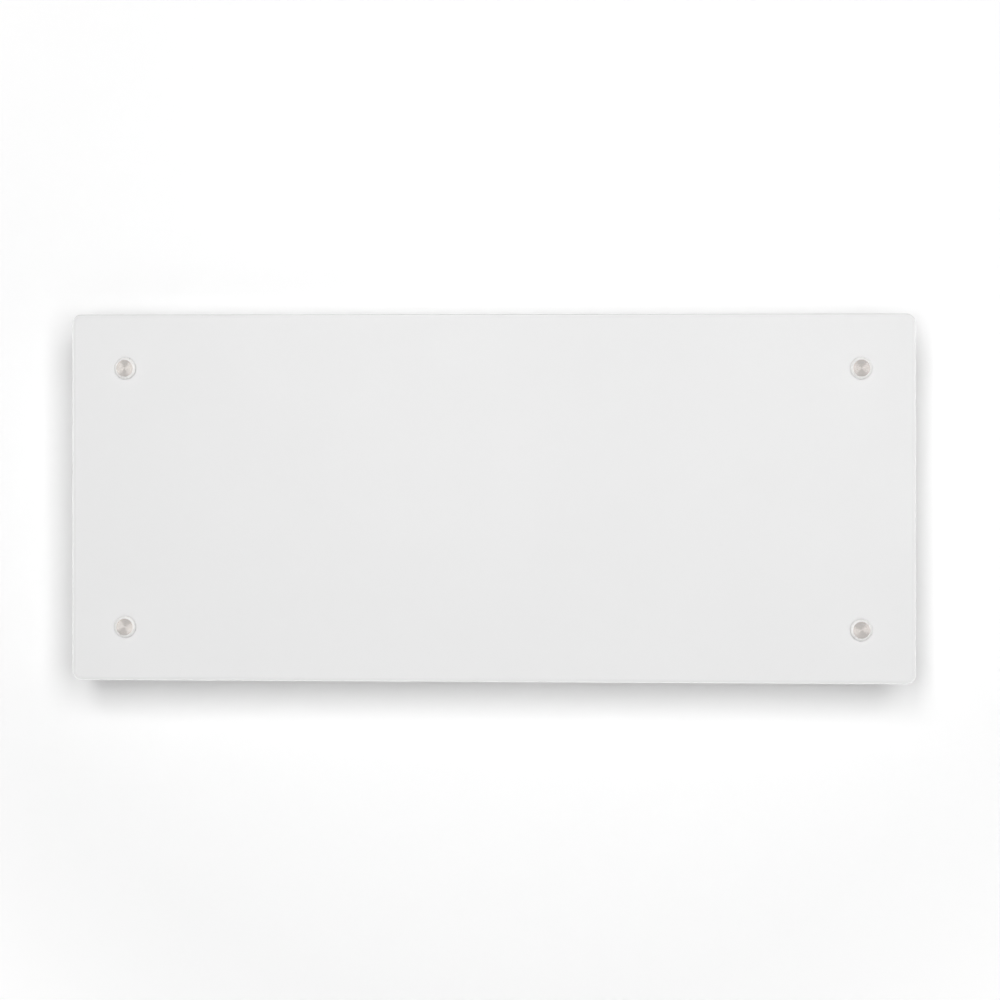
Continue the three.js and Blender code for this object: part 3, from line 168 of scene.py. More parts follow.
# 1 where the back light's rays pass the wall to the piece
def windowShare(tree, place):
    parts = addNode(tree, "ShaderNodeSeparateXYZ", {0: place}).outputs
    inside = addNode(tree, "ShaderNodeLightPath").outputs["Is Shadow Ray"]
    for axis, size in (("X", "windowWidth"), ("Z", "windowHeight")):
        near = maths(tree, "LESS_THAN", maths(tree, "ABSOLUTE", parts[axis]), stage[size] / 2)
        inside = maths(tree, "MULTIPLY", inside, near)
    return inside


def stagePlane(name, corners):
    mesh = bpy.data.meshes.new(name)
    mesh.from_pydata(corners, [], [(0, 1, 2, 3)])
    mesh.materials.append(stageMaterial(name))
    item = linked(bpy.data.objects.new(name, mesh))
    return item


def makeStage():
    x, y, reach = stage["wallWidth"] / 2, stage["wallPlace"], stage["floorDepth"]
    low = -stage["floorDrop"]
    high = low + stage["wallHeight"]
    skipped = bpy.data.collections.new("stageSkipped")
    corners = {"paleWall": [(-x, y, low), (x, y, low), (x, y, high), (-x, y, high)],
               "paleFloor": [(-x, -reach, low), (x, -reach, low), (x, reach, low), (-x, reach, low)]}
    for name, points in corners.items():
        skipped.objects.link(stagePlane(name, points))
    for row in skipped.collection_objects:
        row.light_linking.link_state = "EXCLUDE"
    return skipped


stageSkipped = makeStage()

# Light: two soft panels in front, two tall cards that only the metal mirrors, one panel behind, and two
# strips beside the piece that leave the wall and floor as they are

lamps = {
    "frontLeftPanel": {"place": (-0.385, -3.1, 0.65), "size": (0.73, 1.9), "power": 48.5,
                       "shows": ["diffuse"]},
    "frontRightPanel": {"place": (0.80, -3.1, 0.55), "size": (0.98, 1.8), "power": 46.5,
                        "shows": ["diffuse"]},
    "leftCard": {"place": (-1.75, -2.0, 0.1), "size": (0.8, 2.4), "power": 10.5, "shows": ["glossy"],
                 "tint": (1.0, 0.975, 0.945)},
    "rightCard": {"place": (1.75, -2.0, 0.1), "size": (0.8, 2.4), "power": 10.5, "shows": ["glossy"],
                  "tint": (1.0, 0.95, 0.935)},
    "backPanel": {"place": (0.4, 2.6, 1.6), "size": (2.4, 1.8), "power": 66, "shows": ["diffuse", "glossy"]},
    "leftFill": {"place": (-2.2, -0.12, 0.1), "size": (0.2, 1.2), "power": 6, "shows": ["diffuse"],
                 "skips": "stage"},
    "rightFill": {"place": (2.2, -0.12, 0.1), "size": (0.2, 1.2), "power": 6, "shows": ["diffuse"],
                 "skips": "stage"},
}
skyLevel = 0.02


def makeLamps():
    for name, lamp in lamps.items():
        data = bpy.data.lights.new(name, "AREA")
        data.shape = "RECTANGLE"
        data.size, data.size_y = lamp["size"]
        data.energy = lamp["power"]
        data.color = lamp.get("tint", (1, 1, 1))
        item = linked(bpy.data.objects.new(name, data))
        item.location = lamp["place"]
        item.rotation_euler = (-Vector(lamp["place"])).to_track_quat("-Z", "Y").to_euler()
        item.visible_camera = False
        item.visible_diffuse = "diffuse" in lamp["shows"]
        item.visible_glossy = "glossy" in lamp["shows"]
        if lamp.get("skips") == "stage":
            item.light_linking.receiver_collection = stageSkipped


def makeSky():
    world = bpy.data.worlds.new("studio")
    bpy.context.scene.world = world
    tree = emptyTree(world)
    colour = mixed(tree, showingRays(tree), grey(skyLevel), grey(1.0))
    sky = addNode(tree, "ShaderNodeBackground", {"Color": colour}).outputs[0]
    addNode(tree, "ShaderNodeOutputWorld", {"Surface": sky})


makeLamps()
makeSky()
bpy.context.scene.view_settings.view_transform = "Standard"
print("camera, stage and light made")

# Shape helpers: outlines are drawn in the XY plane in millimetres and raised along +Z

turns = {
    "right": Matrix(((0, 0, 1), (1, 0, 0), (0, 1, 0))),
    "left": Matrix(((0, 0, -1), (-1, 0, 0), (0, 1, 0))),
    "front": Matrix(((1, 0, 0), (0, 0, -1), (0, 1, 0))),
    "back": Matrix(((-1, 0, 0), (0, 0, 1), (0, 1, 0))),
    "up": Matrix.Identity(3),
    "down": Matrix(((1, 0, 0), (0, -1, 0), (0, 0, -1))),
}
overrun = 2  # how far a cut passes the surface it opens
facets = {"turned": 64, "small": 32, "bore": 48, "tiny": 24, "corner": 6, "bend": 5, "round": 4, "slotEnd": 8,
          "fillet": 8}
weldReach = 0.0005  # vertices nearer than this are one


def remade(item, change):
    work = bmesh.new()
    work.from_mesh(item.data)
    change(work)
    work.to_mesh(item.data)
    work.free()
    return item


def closed(item):
    def change(work):
        bmesh.ops.remove_doubles(work, verts=work.verts, dist=weldReach * mm)
        bmesh.ops.recalc_face_normals(work, faces=work.faces)
    return remade(item, change)


def shaped(points, faces, towards="up", at=(0, 0, 0)):
    mesh = bpy.data.meshes.new("shape")
    turn, place = turns[towards], Vector(at)
    mesh.from_pydata([(turn @ Vector(point) + place) * mm for point in points], [], faces)
    return closed(linked(bpy.data.objects.new("shape", mesh)))


# Faces between rings of equally many points; the ends are filled unless the rings close on themselves
def ringFaces(rings, size, ends=True):
    faces = []
    for row in range(rings - 1):
        for i in range(size):
            a, b = row * size + i, row * size + (i + 1) % size
            faces.append((a, b, b + size, a + size))
    if ends:
        faces.append(tuple(range(size))[::-1])
        faces.append(tuple(range((rings - 1) * size, rings * size)))
    return faces


def turned(profile, towards="up", at=(0, 0, 0), steps=facets["turned"]):
    points = []
    for radius, height in profile:
        for i in range(steps):
            angle = 2 * math.pi * i / steps
            points.append((radius * math.cos(angle), radius * math.sin(angle), height))
    return shaped(points, ringFaces(len(profile), steps, False), towards, at)


def rod(radius, length, towards="up", at=(0, 0, 0), steps=facets["small"]):
    return turned([(0, 0), (radius, 0), (radius, length), (0, length)], towards, at, steps)


def hoop(inner, outer, low, high, towards="up", at=(0, 0, 0)):
    profile = [(inner, low), (outer, low), (outer, high), (inner, high), (inner, low)]
    return turned(profile, towards, at, facets["small"])


# The zigzag of a thread, from crest to root
def threaded(radius, depth, pitch, start, count):
    return [(radius - depth * (i % 2), start + i * pitch / 2) for i in range(2 * count)]


def extruded(outline, length, towards="up", at=(0, 0, 0)):
    points = [(x, y, height) for height in (0, length) for x, y in outline]
    return shaped(points, ringFaces(2, len(outline)), towards, at)


def box(x, y, z):
    outline = [(x[0], y[0]), (x[1], y[0]), (x[1], y[1]), (x[0], y[1])]
    return extruded(outline, z[1] - z[0], "up", (0, 0, z[0]))


def arc(centre, radius, start, sweep, steps):
    turnsTo = [math.radians(start + sweep * i / steps) for i in range(steps + 1)]
    return [(centre[0] + radius * math.cos(t), centre[1] + radius * math.sin(t)) for t in turnsTo]


def roundedRing(width, height, corner, inset, steps):
    radius = max(corner - inset, corner / 4)
    x, y = width / 2 - inset - radius, height / 2 - inset - radius
    corners = [(x, y, 0), (-x, y, 90), (-x, -y, 180), (x, -y, 270)]
    return [point for u, v, start in corners for point in arc((u, v), radius, start, 90, steps)]


# A round-cornered rectangle stacked through levels of (height, inset)
def stacked(width, height, corner, levels, towards="up", at=(0, 0, 0), steps=facets["corner"]):
    points = []
    for level, inset in levels:
        points += [(x, y, level) for x, y in roundedRing(width, height, corner, inset, steps)]
    return shaped(points, ringFaces(len(levels), 4 * (steps + 1)), towards, at)


def roundedEnd(height, roundness):
    angles = [math.pi / 2 * i / facets["round"] for i in range(facets["round"] + 1)]
    return [(height - roundness * (1 - math.sin(a)), roundness * (1 - math.cos(a))) for a in angles]


def slotOutline(length, width):
    run, radius = (length - width) / 2, width / 2
    return [point for side in (1, -1) for point in arc((side * run, 0), radius, -90 * side, 180,
                                                       facets["slotEnd"])]


# A line through corners, each turned with one radius
def bendLine(corners, radius, around=False, steps=facets["bend"]):
    points = [Vector(corner) for corner in corners]
    line = []
    for i, here in enumerate(points):
        if not around and i in (0, len(points) - 1):
            line.append(here)
            continue
        before = (points[i - 1] - here).normalized()
        after = (points[(i + 1) % len(points)] - here).normalized()
        half = math.acos(max(-1, min(1, before.dot(after)))) / 2
        centre = here + (before + after).normalized() * radius / math.sin(half)
        start = here + before * radius / math.tan(half) - centre
        side = math.copysign(1, before.x * after.y - before.y * after.x)
        for k in range(steps + 1):
            line.append(centre + Matrix.Rotation(-side * (math.pi - 2 * half) * k / steps, 2) @ start)
    return line


# The outline of a strip along a line
def ribbon(line, thicknessAt):
    last = len(line) - 1
    near, far = [], []
    for i, point in enumerate(line):
        ahead = (line[min(i + 1, last)] - line[min(i, last - 1)]).normalized()
        behind = (line[max(i, 1)] - line[max(i - 1, 0)]).normalized()
        along = (ahead + behind).normalized()
        across = Vector((-along.y, along.x)) * thicknessAt(i / last) / 2 / along.dot(ahead)
        near.append(point + across)
        far.append(point - across)
    return near + far[::-1]


def folded(corners, sheet, bend, length, towards="right", at=(0, 0, 0)):
    return extruded(ribbon(bendLine(corners, bend), lambda share: sheet), length, towards, at)


def removed(item):
    mesh = item.data
    bpy.data.objects.remove(item)
    bpy.data.meshes.remove(mesh)


# The evaluated shape as a plain mesh, with its modifiers gone
def settled(item):
    bpy.context.view_layer.update()
    shape = bpy.data.meshes.new_from_object(item.evaluated_get(bpy.context.evaluated_depsgraph_get()))
    old = item.data
    item.modifiers.clear()
    item.data = shape
    bpy.data.meshes.remove(old)
    return item


def combined(item, others, operation):
    tools = bpy.data.collections.new("tools")
    bpy.context.scene.collection.children.link(tools)
    for other in others:
        tools.objects.link(other)
    change = item.modifiers.new("combine", "BOOLEAN")
    change.operation = operation
    change.solver = "EXACT"
    change.operand_type = "COLLECTION"
    change.collection = tools
    settled(item)
    for other in list(others):
        removed(other)
    bpy.data.collections.remove(tools)
    return closed(item)


def cut(item, tools):
    return combined(item, tools, "DIFFERENCE")


def united(item, *others):
    return combined(item, others, "UNION")


# Several closed shapes carried in one mesh
def gathered(items):
    items = list(items)
    work = bmesh.new()
    for item in items:
        work.from_mesh(item.data)
    work.to_mesh(items[0].data)
    work.free()
    for item in items[1:]:
        removed(item)
    return items[0]


def moved(item, x=0, y=0, z=0, turn=None):
    if turn:
        item.data.transform(Matrix.Rotation(math.radians(turn[1]), 4, turn[0]))
    item.data.transform(Matrix.Translation(Vector((x, y, z)) * mm))
    return item


def softened(item, width, angle=40):
    change = item.modifiers.new("soft edges", "BEVEL")
    change.width = width * mm
    change.segments = 2
    change.limit_method = "ANGLE"
    change.angle_limit = math.radians(angle)
    change.harden_normals = False
    return settled(item)


def smoothed(item, angle=32):
    item.data.polygons.foreach_set("use_smooth", [True] * len(item.data.polygons))
    item.data.set_sharp_from_angle(angle=math.radians(angle))
    item.modifiers.new("even shading", "WEIGHTED_NORMAL").keep_sharp = True
    return settled(item)


# One finish for the whole piece, or several with a choice for each face
def painted(item, names, choose=None):
    item.data.materials.clear()
    for name in names:
        item.data.materials.append(paint[name])
    for face in item.data.polygons:
        face.material_index = choose(face) if choose else 0
    return item


# Closed shapes of several finishes carried in one mesh
def assembled(parts):
    ends = list(accumulate(len(item.data.polygons) for item, name in parts))
    item = gathered(item for item, name in parts)
    return painted(item, [name for _, name in parts], lambda face: bisect(ends, face.index))


def camel(name):
    first, *others = name.split("_")
    return first + "".join(word.title() for word in others)


# A finished piece: it stands for its nodes, rides their body and takes their finish unless it has its own
def finished(item, name, nodes, sharp=32):
    slot = slotOf[nodes[0]]
    if not any(item.data.materials):
        painted(item, [camel(slot)])
    smoothed(item, sharp)
    item.name = item.data.name = name
    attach(item, bodyOf[nodes[0]])
    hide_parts(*nodes)


# Geometry Nodes: the object's own shape, repeated in a row or a ring


def partsTree(name, sockets):
    tree = bpy.data.node_groups.new(name, "GeometryNodeTree")
    tree.interface.new_socket("Geometry", in_out="OUTPUT", socket_type="NodeSocketGeometry")
    tree.interface.new_socket("Geometry", in_out="INPUT", socket_type="NodeSocketGeometry")
    for label, kind in sockets:
        tree.interface.new_socket(label, in_out="INPUT", socket_type="NodeSocket" + kind)
    return tree, addNode(tree, "NodeGroupInput").outputs


def endTree(tree, geometry, material):
    real = addNode(tree, "GeometryNodeRealizeInstances", {"Geometry": geometry}).outputs[0]
    coated = addNode(tree, "GeometryNodeSetMaterial", {"Geometry": real, "Material": material}).outputs[0]
    addNode(tree, "NodeGroupOutput", {"Geometry": coated})
    return tree


def makeRowTree():
    tree, given = partsTree("partsInRow", [("Count", "Int"), ("Start", "Vector"), ("Step", "Vector"),
                                           ("Finish", "Material")])
    row = addNode(tree, "GeometryNodeMeshLine", {"Count": given["Count"], "Start Location": given["Start"],
                                                 "Offset": given["Step"]}).outputs[0]
    parts = addNode(tree, "GeometryNodeInstanceOnPoints", {"Points": row, "Instance": given["Geometry"]})
    return endTree(tree, parts.outputs[0], given["Finish"])


def makeRingTree():
    tree, given = partsTree("partsInRing", [("Count", "Int"), ("Centre", "Vector"), ("Axis", "Vector"),
                                            ("Finish", "Material")])
    count = given["Count"]
    line = addNode(tree, "GeometryNodeMeshLine", {"Count": count, "Offset": (0.0, 0.0, 0.0)}).outputs[0]
    index = addNode(tree, "GeometryNodeInputIndex").outputs[0]
    angle = maths(tree, "DIVIDE", maths(tree, "MULTIPLY", index, 2 * math.pi), count)
    sockets = {"Axis": given["Axis"], "Angle": angle}
    turn = addNode(tree, "FunctionNodeAxisAngleToRotation", sockets).outputs[0]
    sockets = {"Points": line, "Instance": given["Geometry"], "Rotation": turn}
    parts = addNode(tree, "GeometryNodeInstanceOnPoints", sockets).outputs[0]
    placed = addNode(tree, "GeometryNodeSetPosition", {"Geometry": parts, "Offset": given["Centre"]})
    return endTree(tree, placed.outputs[0], given["Finish"])


# A section swept along the object's own edges, with rounded turns and closed ends
def makeSweepTree():
    tree, given = partsTree("sweptLine", [("Radius", "Float"), ("Sides", "Int"), ("Bend", "Float"),
                                          ("Finish", "Material")])
    line = addNode(tree, "GeometryNodeMeshToCurve", {"Mesh": given["Geometry"]}).outputs[0]
    sockets = {"Curve": line, "Count": facets["fillet"], "Radius": given["Bend"]}
    bent = addNode(tree, "GeometryNodeFilletCurve", sockets, mode="POLY").outputs[0]
    sockets = {"Resolution": given["Sides"], "Radius": given["Radius"]}
    section = addNode(tree, "GeometryNodeCurvePrimitiveCircle", sockets).outputs[0]
    sockets = {"Curve": bent, "Profile Curve": section, "Fill Caps": True}
    return endTree(tree, addNode(tree, "GeometryNodeCurveToMesh", sockets).outputs[0], given["Finish"])


rowTree = makeRowTree()
ringTree = makeRingTree()
sweepTree = makeSweepTree()


def grown(item, tree, **values):
    change = item.modifiers.new(tree.name, "NODES")
    change.node_group = tree
    sockets = {socket.name: socket.identifier for socket in tree.interface.items_tree}
    for label, value in values.items():
        change[sockets[label]] = value
    return settled(item)


def inRow(item, count, start, step):
    return grown(item, rowTree, Count=count, Start=Vector(start) * mm, Step=Vector(step) * mm)


def inRing(item, count, centre, axis):
    return grown(item, ringTree, Count=count, Centre=Vector(centre) * mm, Axis=axis)


def swept(points, radius, sides, bend, finish):
    mesh = bpy.data.meshes.new("line")
    steps = [(i, i + 1) for i in range(len(points) - 1)]
    mesh.from_pydata([Vector(point) * mm for point in points], steps, [])
    item = linked(bpy.data.objects.new("line", mesh))
    return grown(item, sweepTree, Radius=radius * mm, Sides=sides, Bend=bend * mm, Finish=paint[finish])


def nodesOf(start):
    return [node for node in frame["nodes"] if node.startswith(start)]


# The lowest and the highest corner of a node, then also its middle and its size
def nodeBox(node):
    low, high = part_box(node)
    return low / mm, high / mm


def nodeSpan(node):
    low, high = nodeBox(node)
    return low, high, (low + high) / 2, high - low


def nodeCentre(node):
    return nodeSpan(node)[2]


# A stack on the plan of a node, with its sides moved out. It starts at the node's own foot unless told
def onPlan(node, corner, levels, out=0, foot=None, steps=facets["corner"]):
    low, _, middle, size = nodeSpan(node)
    outX, outY = out if isinstance(out, tuple) else (out, out)
    return stacked(size.x + 2 * outX, size.y + 2 * outY, corner, levels, "up",
                   (middle.x, middle.y, low.z if foot is None else foot), steps)


def plateOn(node, corner, height, out=0, foot=None):
    return onPlan(node, corner, [(0, 0), (height, 0)], out, foot)


# A block that fills a node, with its top edge rounded
def blockOn(node, corner, roundness):
    return onPlan(node, corner, [(0, 0)] + roundedEnd(nodeSpan(node)[3].z, roundness))


# The item, drawn about the origin, at the centres of two like nodes
def atPair(item, nodes):
    first, second = [nodeCentre(node) for node in nodes]
    return inRow(item, 2, first, second - first)


# The item at the left and the right, or at the four corners, x and z from the middle
def leftAndRight(item, x, z=0):
    return inRow(item, 2, (-x, 0, z), (2 * x, 0, 0))


def fourCorners(item, x, z):
    return inRow(leftAndRight(item, x, -z), 2, (0, 0, 0), (0, 0, 2 * z))


def quadratic(start, middle, end, steps):
    ends = [Vector(point) for point in (start, middle, end)]
    shares = [i / steps for i in range(steps + 1)]
    return [ends[0] * (1 - s) ** 2 + ends[1] * 2 * s * (1 - s) + ends[2] * s * s for s in shares]


print("shape helpers ready")

# Finishes: colour, roughness and grain all vary a little over a piece


def objectPoint(tree, stretch=(1, 1, 1)):
    place = addNode(tree, "ShaderNodeTexCoord").outputs["Object"]
    return addNode(tree, "ShaderNodeMapping", {"Vector": place, "Scale": stretch}).outputs[0]


def noise(tree, point, size, detail=3.0):
    sockets = {"Vector": point, "Scale": 1 / (size * mm), "Detail": detail}
    return addNode(tree, "ShaderNodeTexNoise", sockets).outputs["Fac"]


noiseRange = (0.32, 0.68)  # where nearly all values of a noise lie


def spread(tree, value, low, high):
    least, most = noiseRange
    sockets = {"Value": value, "From Min": least, "From Max": most, "To Min": low, "To Max": high}
    return addNode(tree, "ShaderNodeMapRange", sockets).outputs["Result"]


def colourOf(values, factor=1.0):
    return tuple(min(1.0, value * factor) for value in values) + (1.0,)


# The settings of a finish: sizes of its patches and grain in millimetres, and the grain's depth
finishes = {
    "whiteGlass": {"colour": (0.800, 0.800, 0.800), "shade": 0.992, "patch": 140, "roughness": (0.05, 0.08),
                   "grain": 30, "depth": 0.002},
    "groundEdge": {"colour": (0.780, 0.780, 0.780), "shade": 0.985, "patch": 9, "roughness": (0.16, 0.26),
                   "grain": 0.5, "depth": 0.003},
    # A painted highlight: the arris gets a near-white, mirror-like finish so it reads as a bright line of
    # light through the glass
    "brightArris": {"colour": (0.970, 0.970, 0.970), "shade": 0.97, "patch": 6, "roughness": (0.05, 0.10),
                    "grain": 0.5, "depth": 0.001, "metallic": 0.9},
    "stainlessSteel": {"colour": (0.516, 0.490, 0.470), "shade": 0.97, "patch": 3, "roughness": (0.20, 0.25),
                       "grain": 0.3, "depth": 0.0005, "metallic": 1.0},
    "polishedSteel": {"colour": (0.930, 0.920, 0.908), "shade": 0.96, "patch": 2, "roughness": (0.26, 0.32),
                      "grain": 0.4, "depth": 0.001, "metallic": 1.0},
    "whitePaint": {"colour": (0.790, 0.790, 0.782), "shade": 0.975, "patch": 60, "roughness": (0.38, 0.50),
                   "grain": 0.9, "depth": 0.018},
    "whitePlastic": {"colour": (0.775, 0.775, 0.766), "shade": 0.98, "patch": 40, "roughness": (0.42, 0.54),
                     "grain": 0.35, "depth": 0.012},
    "greyPlastic": {"colour": (0.270, 0.280, 0.290), "shade": 0.94, "patch": 12, "roughness": (0.46, 0.58),
                    "grain": 0.3, "depth": 0.012},
    "blackPlastic": {"colour": (0.016, 0.017, 0.018), "shade": 0.7, "patch": 14, "roughness": (0.38, 0.55),
                     "grain": 0.3, "depth": 0.014},
    "smokedPlastic": {"colour": (0.010, 0.012, 0.015), "shade": 0.8, "patch": 8, "roughness": (0.04, 0.09),
                      "grain": 6, "depth": 0.001},
    "markInk": {"colour": (0.720, 0.720, 0.715), "shade": 0.95, "patch": 3, "roughness": (0.4, 0.5),
                "grain": 0.3, "depth": 0.002},
    "zincPlate": {"colour": (0.600, 0.612, 0.620), "shade": 0.88, "patch": 2.5, "roughness": (0.22, 0.36),
                  "grain": 0.4, "depth": 0.004, "metallic": 1.0},
    "aluminium": {"colour": (0.600, 0.605, 0.610), "shade": 0.9, "patch": 3, "roughness": (0.30, 0.46),
                  "grain": 0.5, "depth": 0.006, "metallic": 1.0, "stretch": (0.04, 1, 1)},
    "silicone": {"colour": (0.420, 0.125, 0.068), "shade": 0.9, "patch": 4, "roughness": (0.5, 0.66),
                 "grain": 0.5, "depth": 0.01},
}


def shadedBy(tree, settings, colour, roughness, height, depth):
    bump = addNode(tree, "ShaderNodeBump", {"Height": height, "Distance": depth * mm, "Strength": 1.0})
    sockets = {"Base Color": colour, "Roughness": roughness, "Normal": bump.outputs[0],
               "Metallic": settings.get("metallic", 0.0)}
    shader = addNode(tree, "ShaderNodeBsdfPrincipled", sockets)
    addNode(tree, "ShaderNodeOutputMaterial", {"Surface": shader.outputs[0]})
    return shader


def grained(name):
    settings = finishes[name]
    material = bpy.data.materials.new(name)
    tree = emptyTree(material)
    point = objectPoint(tree, settings.get("stretch", (1, 1, 1)))
    patch = spread(tree, noise(tree, point, settings["patch"]), 0, 1)
    colour = mixed(tree, patch, colourOf(settings["colour"], settings["shade"]), colourOf(settings["colour"]))
    roughness = spread(tree, noise(tree, point, settings["patch"] / 2, 4.0), *settings["roughness"])
    shadedBy(tree, settings, colour, roughness, noise(tree, point, settings["grain"]), settings["depth"])
    return material


paint = {name: grained(name) for name in finishes}


# Galvanised sheet: crystals of zinc, each at its own brightness
spangle = {"size": 7, "bright": (0.600, 0.610, 0.615), "dull": (0.430, 0.440, 0.446),
           "roughness": (0.34, 0.52), "depth": 0.012, "metallic": 1.0, "grain": 0.8, "ownShare": 0.75}


def galvanised():
    material = bpy.data.materials.new("galvanisedSteel")
    tree = emptyTree(material)
    point = objectPoint(tree)
    warp = addNode(tree, "ShaderNodeTexNoise", {"Vector": point, "Scale": 1 / (2 * spangle["size"] * mm)})
    shift = addNode(tree, "ShaderNodeVectorMath", {0: warp.outputs["Color"], "Scale": spangle["size"] * mm},
                    operation="SCALE").outputs[0]
    bent = addNode(tree, "ShaderNodeVectorMath", {0: point, 1: shift}).outputs[0]
    crystals = addNode(tree, "ShaderNodeTexVoronoi", {"Vector": bent, "Scale": 1 / (spangle["size"] * mm)})
    own = addNode(tree, "ShaderNodeSeparateColor", {"Color": crystals.outputs["Color"]}).outputs[0]
    fine, ownShare = noise(tree, point, spangle["grain"], 4.0), spangle["ownShare"]
    share = maths(tree, "ADD", maths(tree, "MULTIPLY", own, ownShare),
                  maths(tree, "MULTIPLY", fine, 1 - ownShare))
    colour = mixed(tree, share, colourOf(spangle["dull"]), colourOf(spangle["bright"]))
    low, high = spangle["roughness"]
    roughness = addNode(tree, "ShaderNodeMapRange", {"Value": own, "To Min": high, "To Max": low}).outputs[0]
    shadedBy(tree, spangle, colour, roughness, own, spangle["depth"])
    return material


# Circuit board: tracks under a green mask
board = {"mask": (0.012, 0.085, 0.040), "track": (0.030, 0.160, 0.070), "pitch": 2.4, "gap": 0.12,
         "gapBlur": 0.1, "length": 1.7, "width": 0.6, "patch": 3, "roughness": (0.272, 0.408), "depth": 0.03}


def circuitBoard():
    material = bpy.data.materials.new("circuitBoard")
    tree = emptyTree(material)
    point = objectPoint(tree)
    bricks = addNode(tree, "ShaderNodeTexBrick", {
        "Vector": point, "Scale": 1 / (board["pitch"] * mm), "Mortar Size": board["gap"],
        "Mortar Smooth": board["gapBlur"], "Brick Width": board["length"],
        "Row Height": board["width"]}).outputs["Fac"]
    blotch = noise(tree, point, board["patch"])
    track = maths(tree, "MULTIPLY", bricks, spread(tree, blotch, 0, 1))
    colour = mixed(tree, track, colourOf(board["mask"]), colourOf(board["track"]))
    roughness = spread(tree, blotch, *board["roughness"])
    shadedBy(tree, board, colour, roughness, bricks, board["depth"])
    return material


# Woven glass-fibre sleeve on the leads: two sets of threads that cross
sleeve = {"light": (0.700, 0.665, 0.590), "dark": (0.420, 0.395, 0.340), "pitch": 0.9,
          "roughness": (0.7, 0.85), "turn": (0.6, 0.785, 0.5), "bands": 0.314, "wander": 0.6, "depth": 0.08}


def wovenSleeve():
    material = bpy.data.materials.new("leadSleeve")
    tree = emptyTree(material)
    bands, (x, y, z) = [], sleeve["turn"]
    for lean in (1, -1):
        place = addNode(tree, "ShaderNodeTexCoord").outputs["Object"]
        leaning = addNode(tree, "ShaderNodeMapping", {"Vector": place, "Rotation": (x, y * lean, z)})
        sockets = {"Vector": leaning.outputs[0], "Distortion": sleeve["wander"],
                   "Scale": sleeve["bands"] / (sleeve["pitch"] * mm)}
        wave = addNode(tree, "ShaderNodeTexWave", sockets)
        bands.append(wave.outputs["Fac"])
    thread = maths(tree, "MAXIMUM", *bands)
    colour = mixed(tree, thread, colourOf(sleeve["dark"]), colourOf(sleeve["light"]))
    roughness = spread(tree, thread, *sleeve["roughness"])
    shadedBy(tree, sleeve, colour, roughness, thread, sleeve["depth"])
    return material


# Clear washer plastic
clear = {"dull": (0.86, 0.88, 0.88), "bright": (0.95, 0.96, 0.96), "patch": 2.0, "roughness": (0.12, 0.24),
         "clearness": 0.8, "refraction": 1.46}


def clearPlastic():
    material = bpy.data.materials.new("clearPlastic")
    tree = emptyTree(material)
    haze = noise(tree, objectPoint(tree), clear["patch"])
    colour = mixed(tree, haze, colourOf(clear["dull"]), colourOf(clear["bright"]))
    shader = addNode(tree, "ShaderNodeBsdfPrincipled", {
        "Base Color": colour, "Roughness": spread(tree, haze, *clear["roughness"]),
        "Transmission Weight": clear["clearness"], "IOR": clear["refraction"]})
    addNode(tree, "ShaderNodeOutputMaterial", {"Surface": shader.outputs[0]})
    return material


paint["galvanisedSteel"] = galvanised()
paint["circuitBoard"] = circuitBoard()
paint["leadSleeve"] = wovenSleeve()
paint["clearPlastic"] = clearPlastic()
print("finishes made:", len(paint))

# Glass panel: white back-painted glass with a ground bevel round its face

glass = {
    "corner": 8.5,
    "cornerSteps": 14,
    "arris": 0.4,
    "bevelWidth": 3.2,
    "bevelDepth": 0.25,
    "edgeRound": 1.2,  # radius where the bevel meets the edge
    "faceEase": 7,  # radius where the bevel runs out into the face
    "holeRadius": 5,
    "knobInset": 50,
    "flatFrom": 0.9995,  # the part of a face's normal that points forward, from here on the flat face
    "arrisLeans": (0.25, 0.95),  # and between these on the arris
    "arrisTop": 0.3,  # an arris that looks up more than this keeps the ground edge's finish and gets no painted highlight
    "sharpAngle": 6,
}
glassLow, glassHigh = nodeBox("glass_panel")
knobX = glassHigh.x - glass["knobInset"]
knobZ = glassHigh.z - glass["knobInset"]


def glassSection(thickness):
    arris, width, edge = glass["arris"], glass["bevelWidth"], thickness - glass["bevelDepth"]
    lip = bendLine([(arris, 0), (edge, 0), (thickness, width)], glass["edgeRound"])
    run = bendLine([(edge, 0), (thickness, width), (thickness, 3 * width)], glass["faceEase"])
    return [(0, arris), (arris, 0)] + lip[1:-1] + run[1:-1]


def atKnobs(item):
    return fourCorners(item, knobX, knobZ)


# The face, the ground bevel and edge, and the arris between the two, which is painted near-white as a
# highlight except along the top
def glassZone(face):
    forward, (least, most) = -face.normal.y, glass["arrisLeans"]
    if abs(forward) > glass["flatFrom"]:
        return 0
    return 2 if least < forward < most and face.normal.z < glass["arrisTop"] else 1


def makeGlass():
    size = glassHigh - glassLow
    panel = stacked(size.x, size.z, glass["corner"], glassSection(size.y), "front", (0, glassHigh.y, 0),
                    glass["cornerSteps"])
    hole = rod(glass["holeRadius"], size.y + 2 * overrun, "front", (0, glassHigh.y + overrun, 0),
               facets["bore"])
    cut(panel, [atKnobs(hole)])
    # The arris below and at the sides takes the painted highlight; the top arris stays ground
    painted(panel, ["whiteGlass", "groundEdge", "brightArris"], glassZone)
    finished(panel, "glass_front", ["glass_panel"], glass["sharpAngle"])


makeGlass()

# Knobs: turned stainless steel, faced with fine concentric grooves

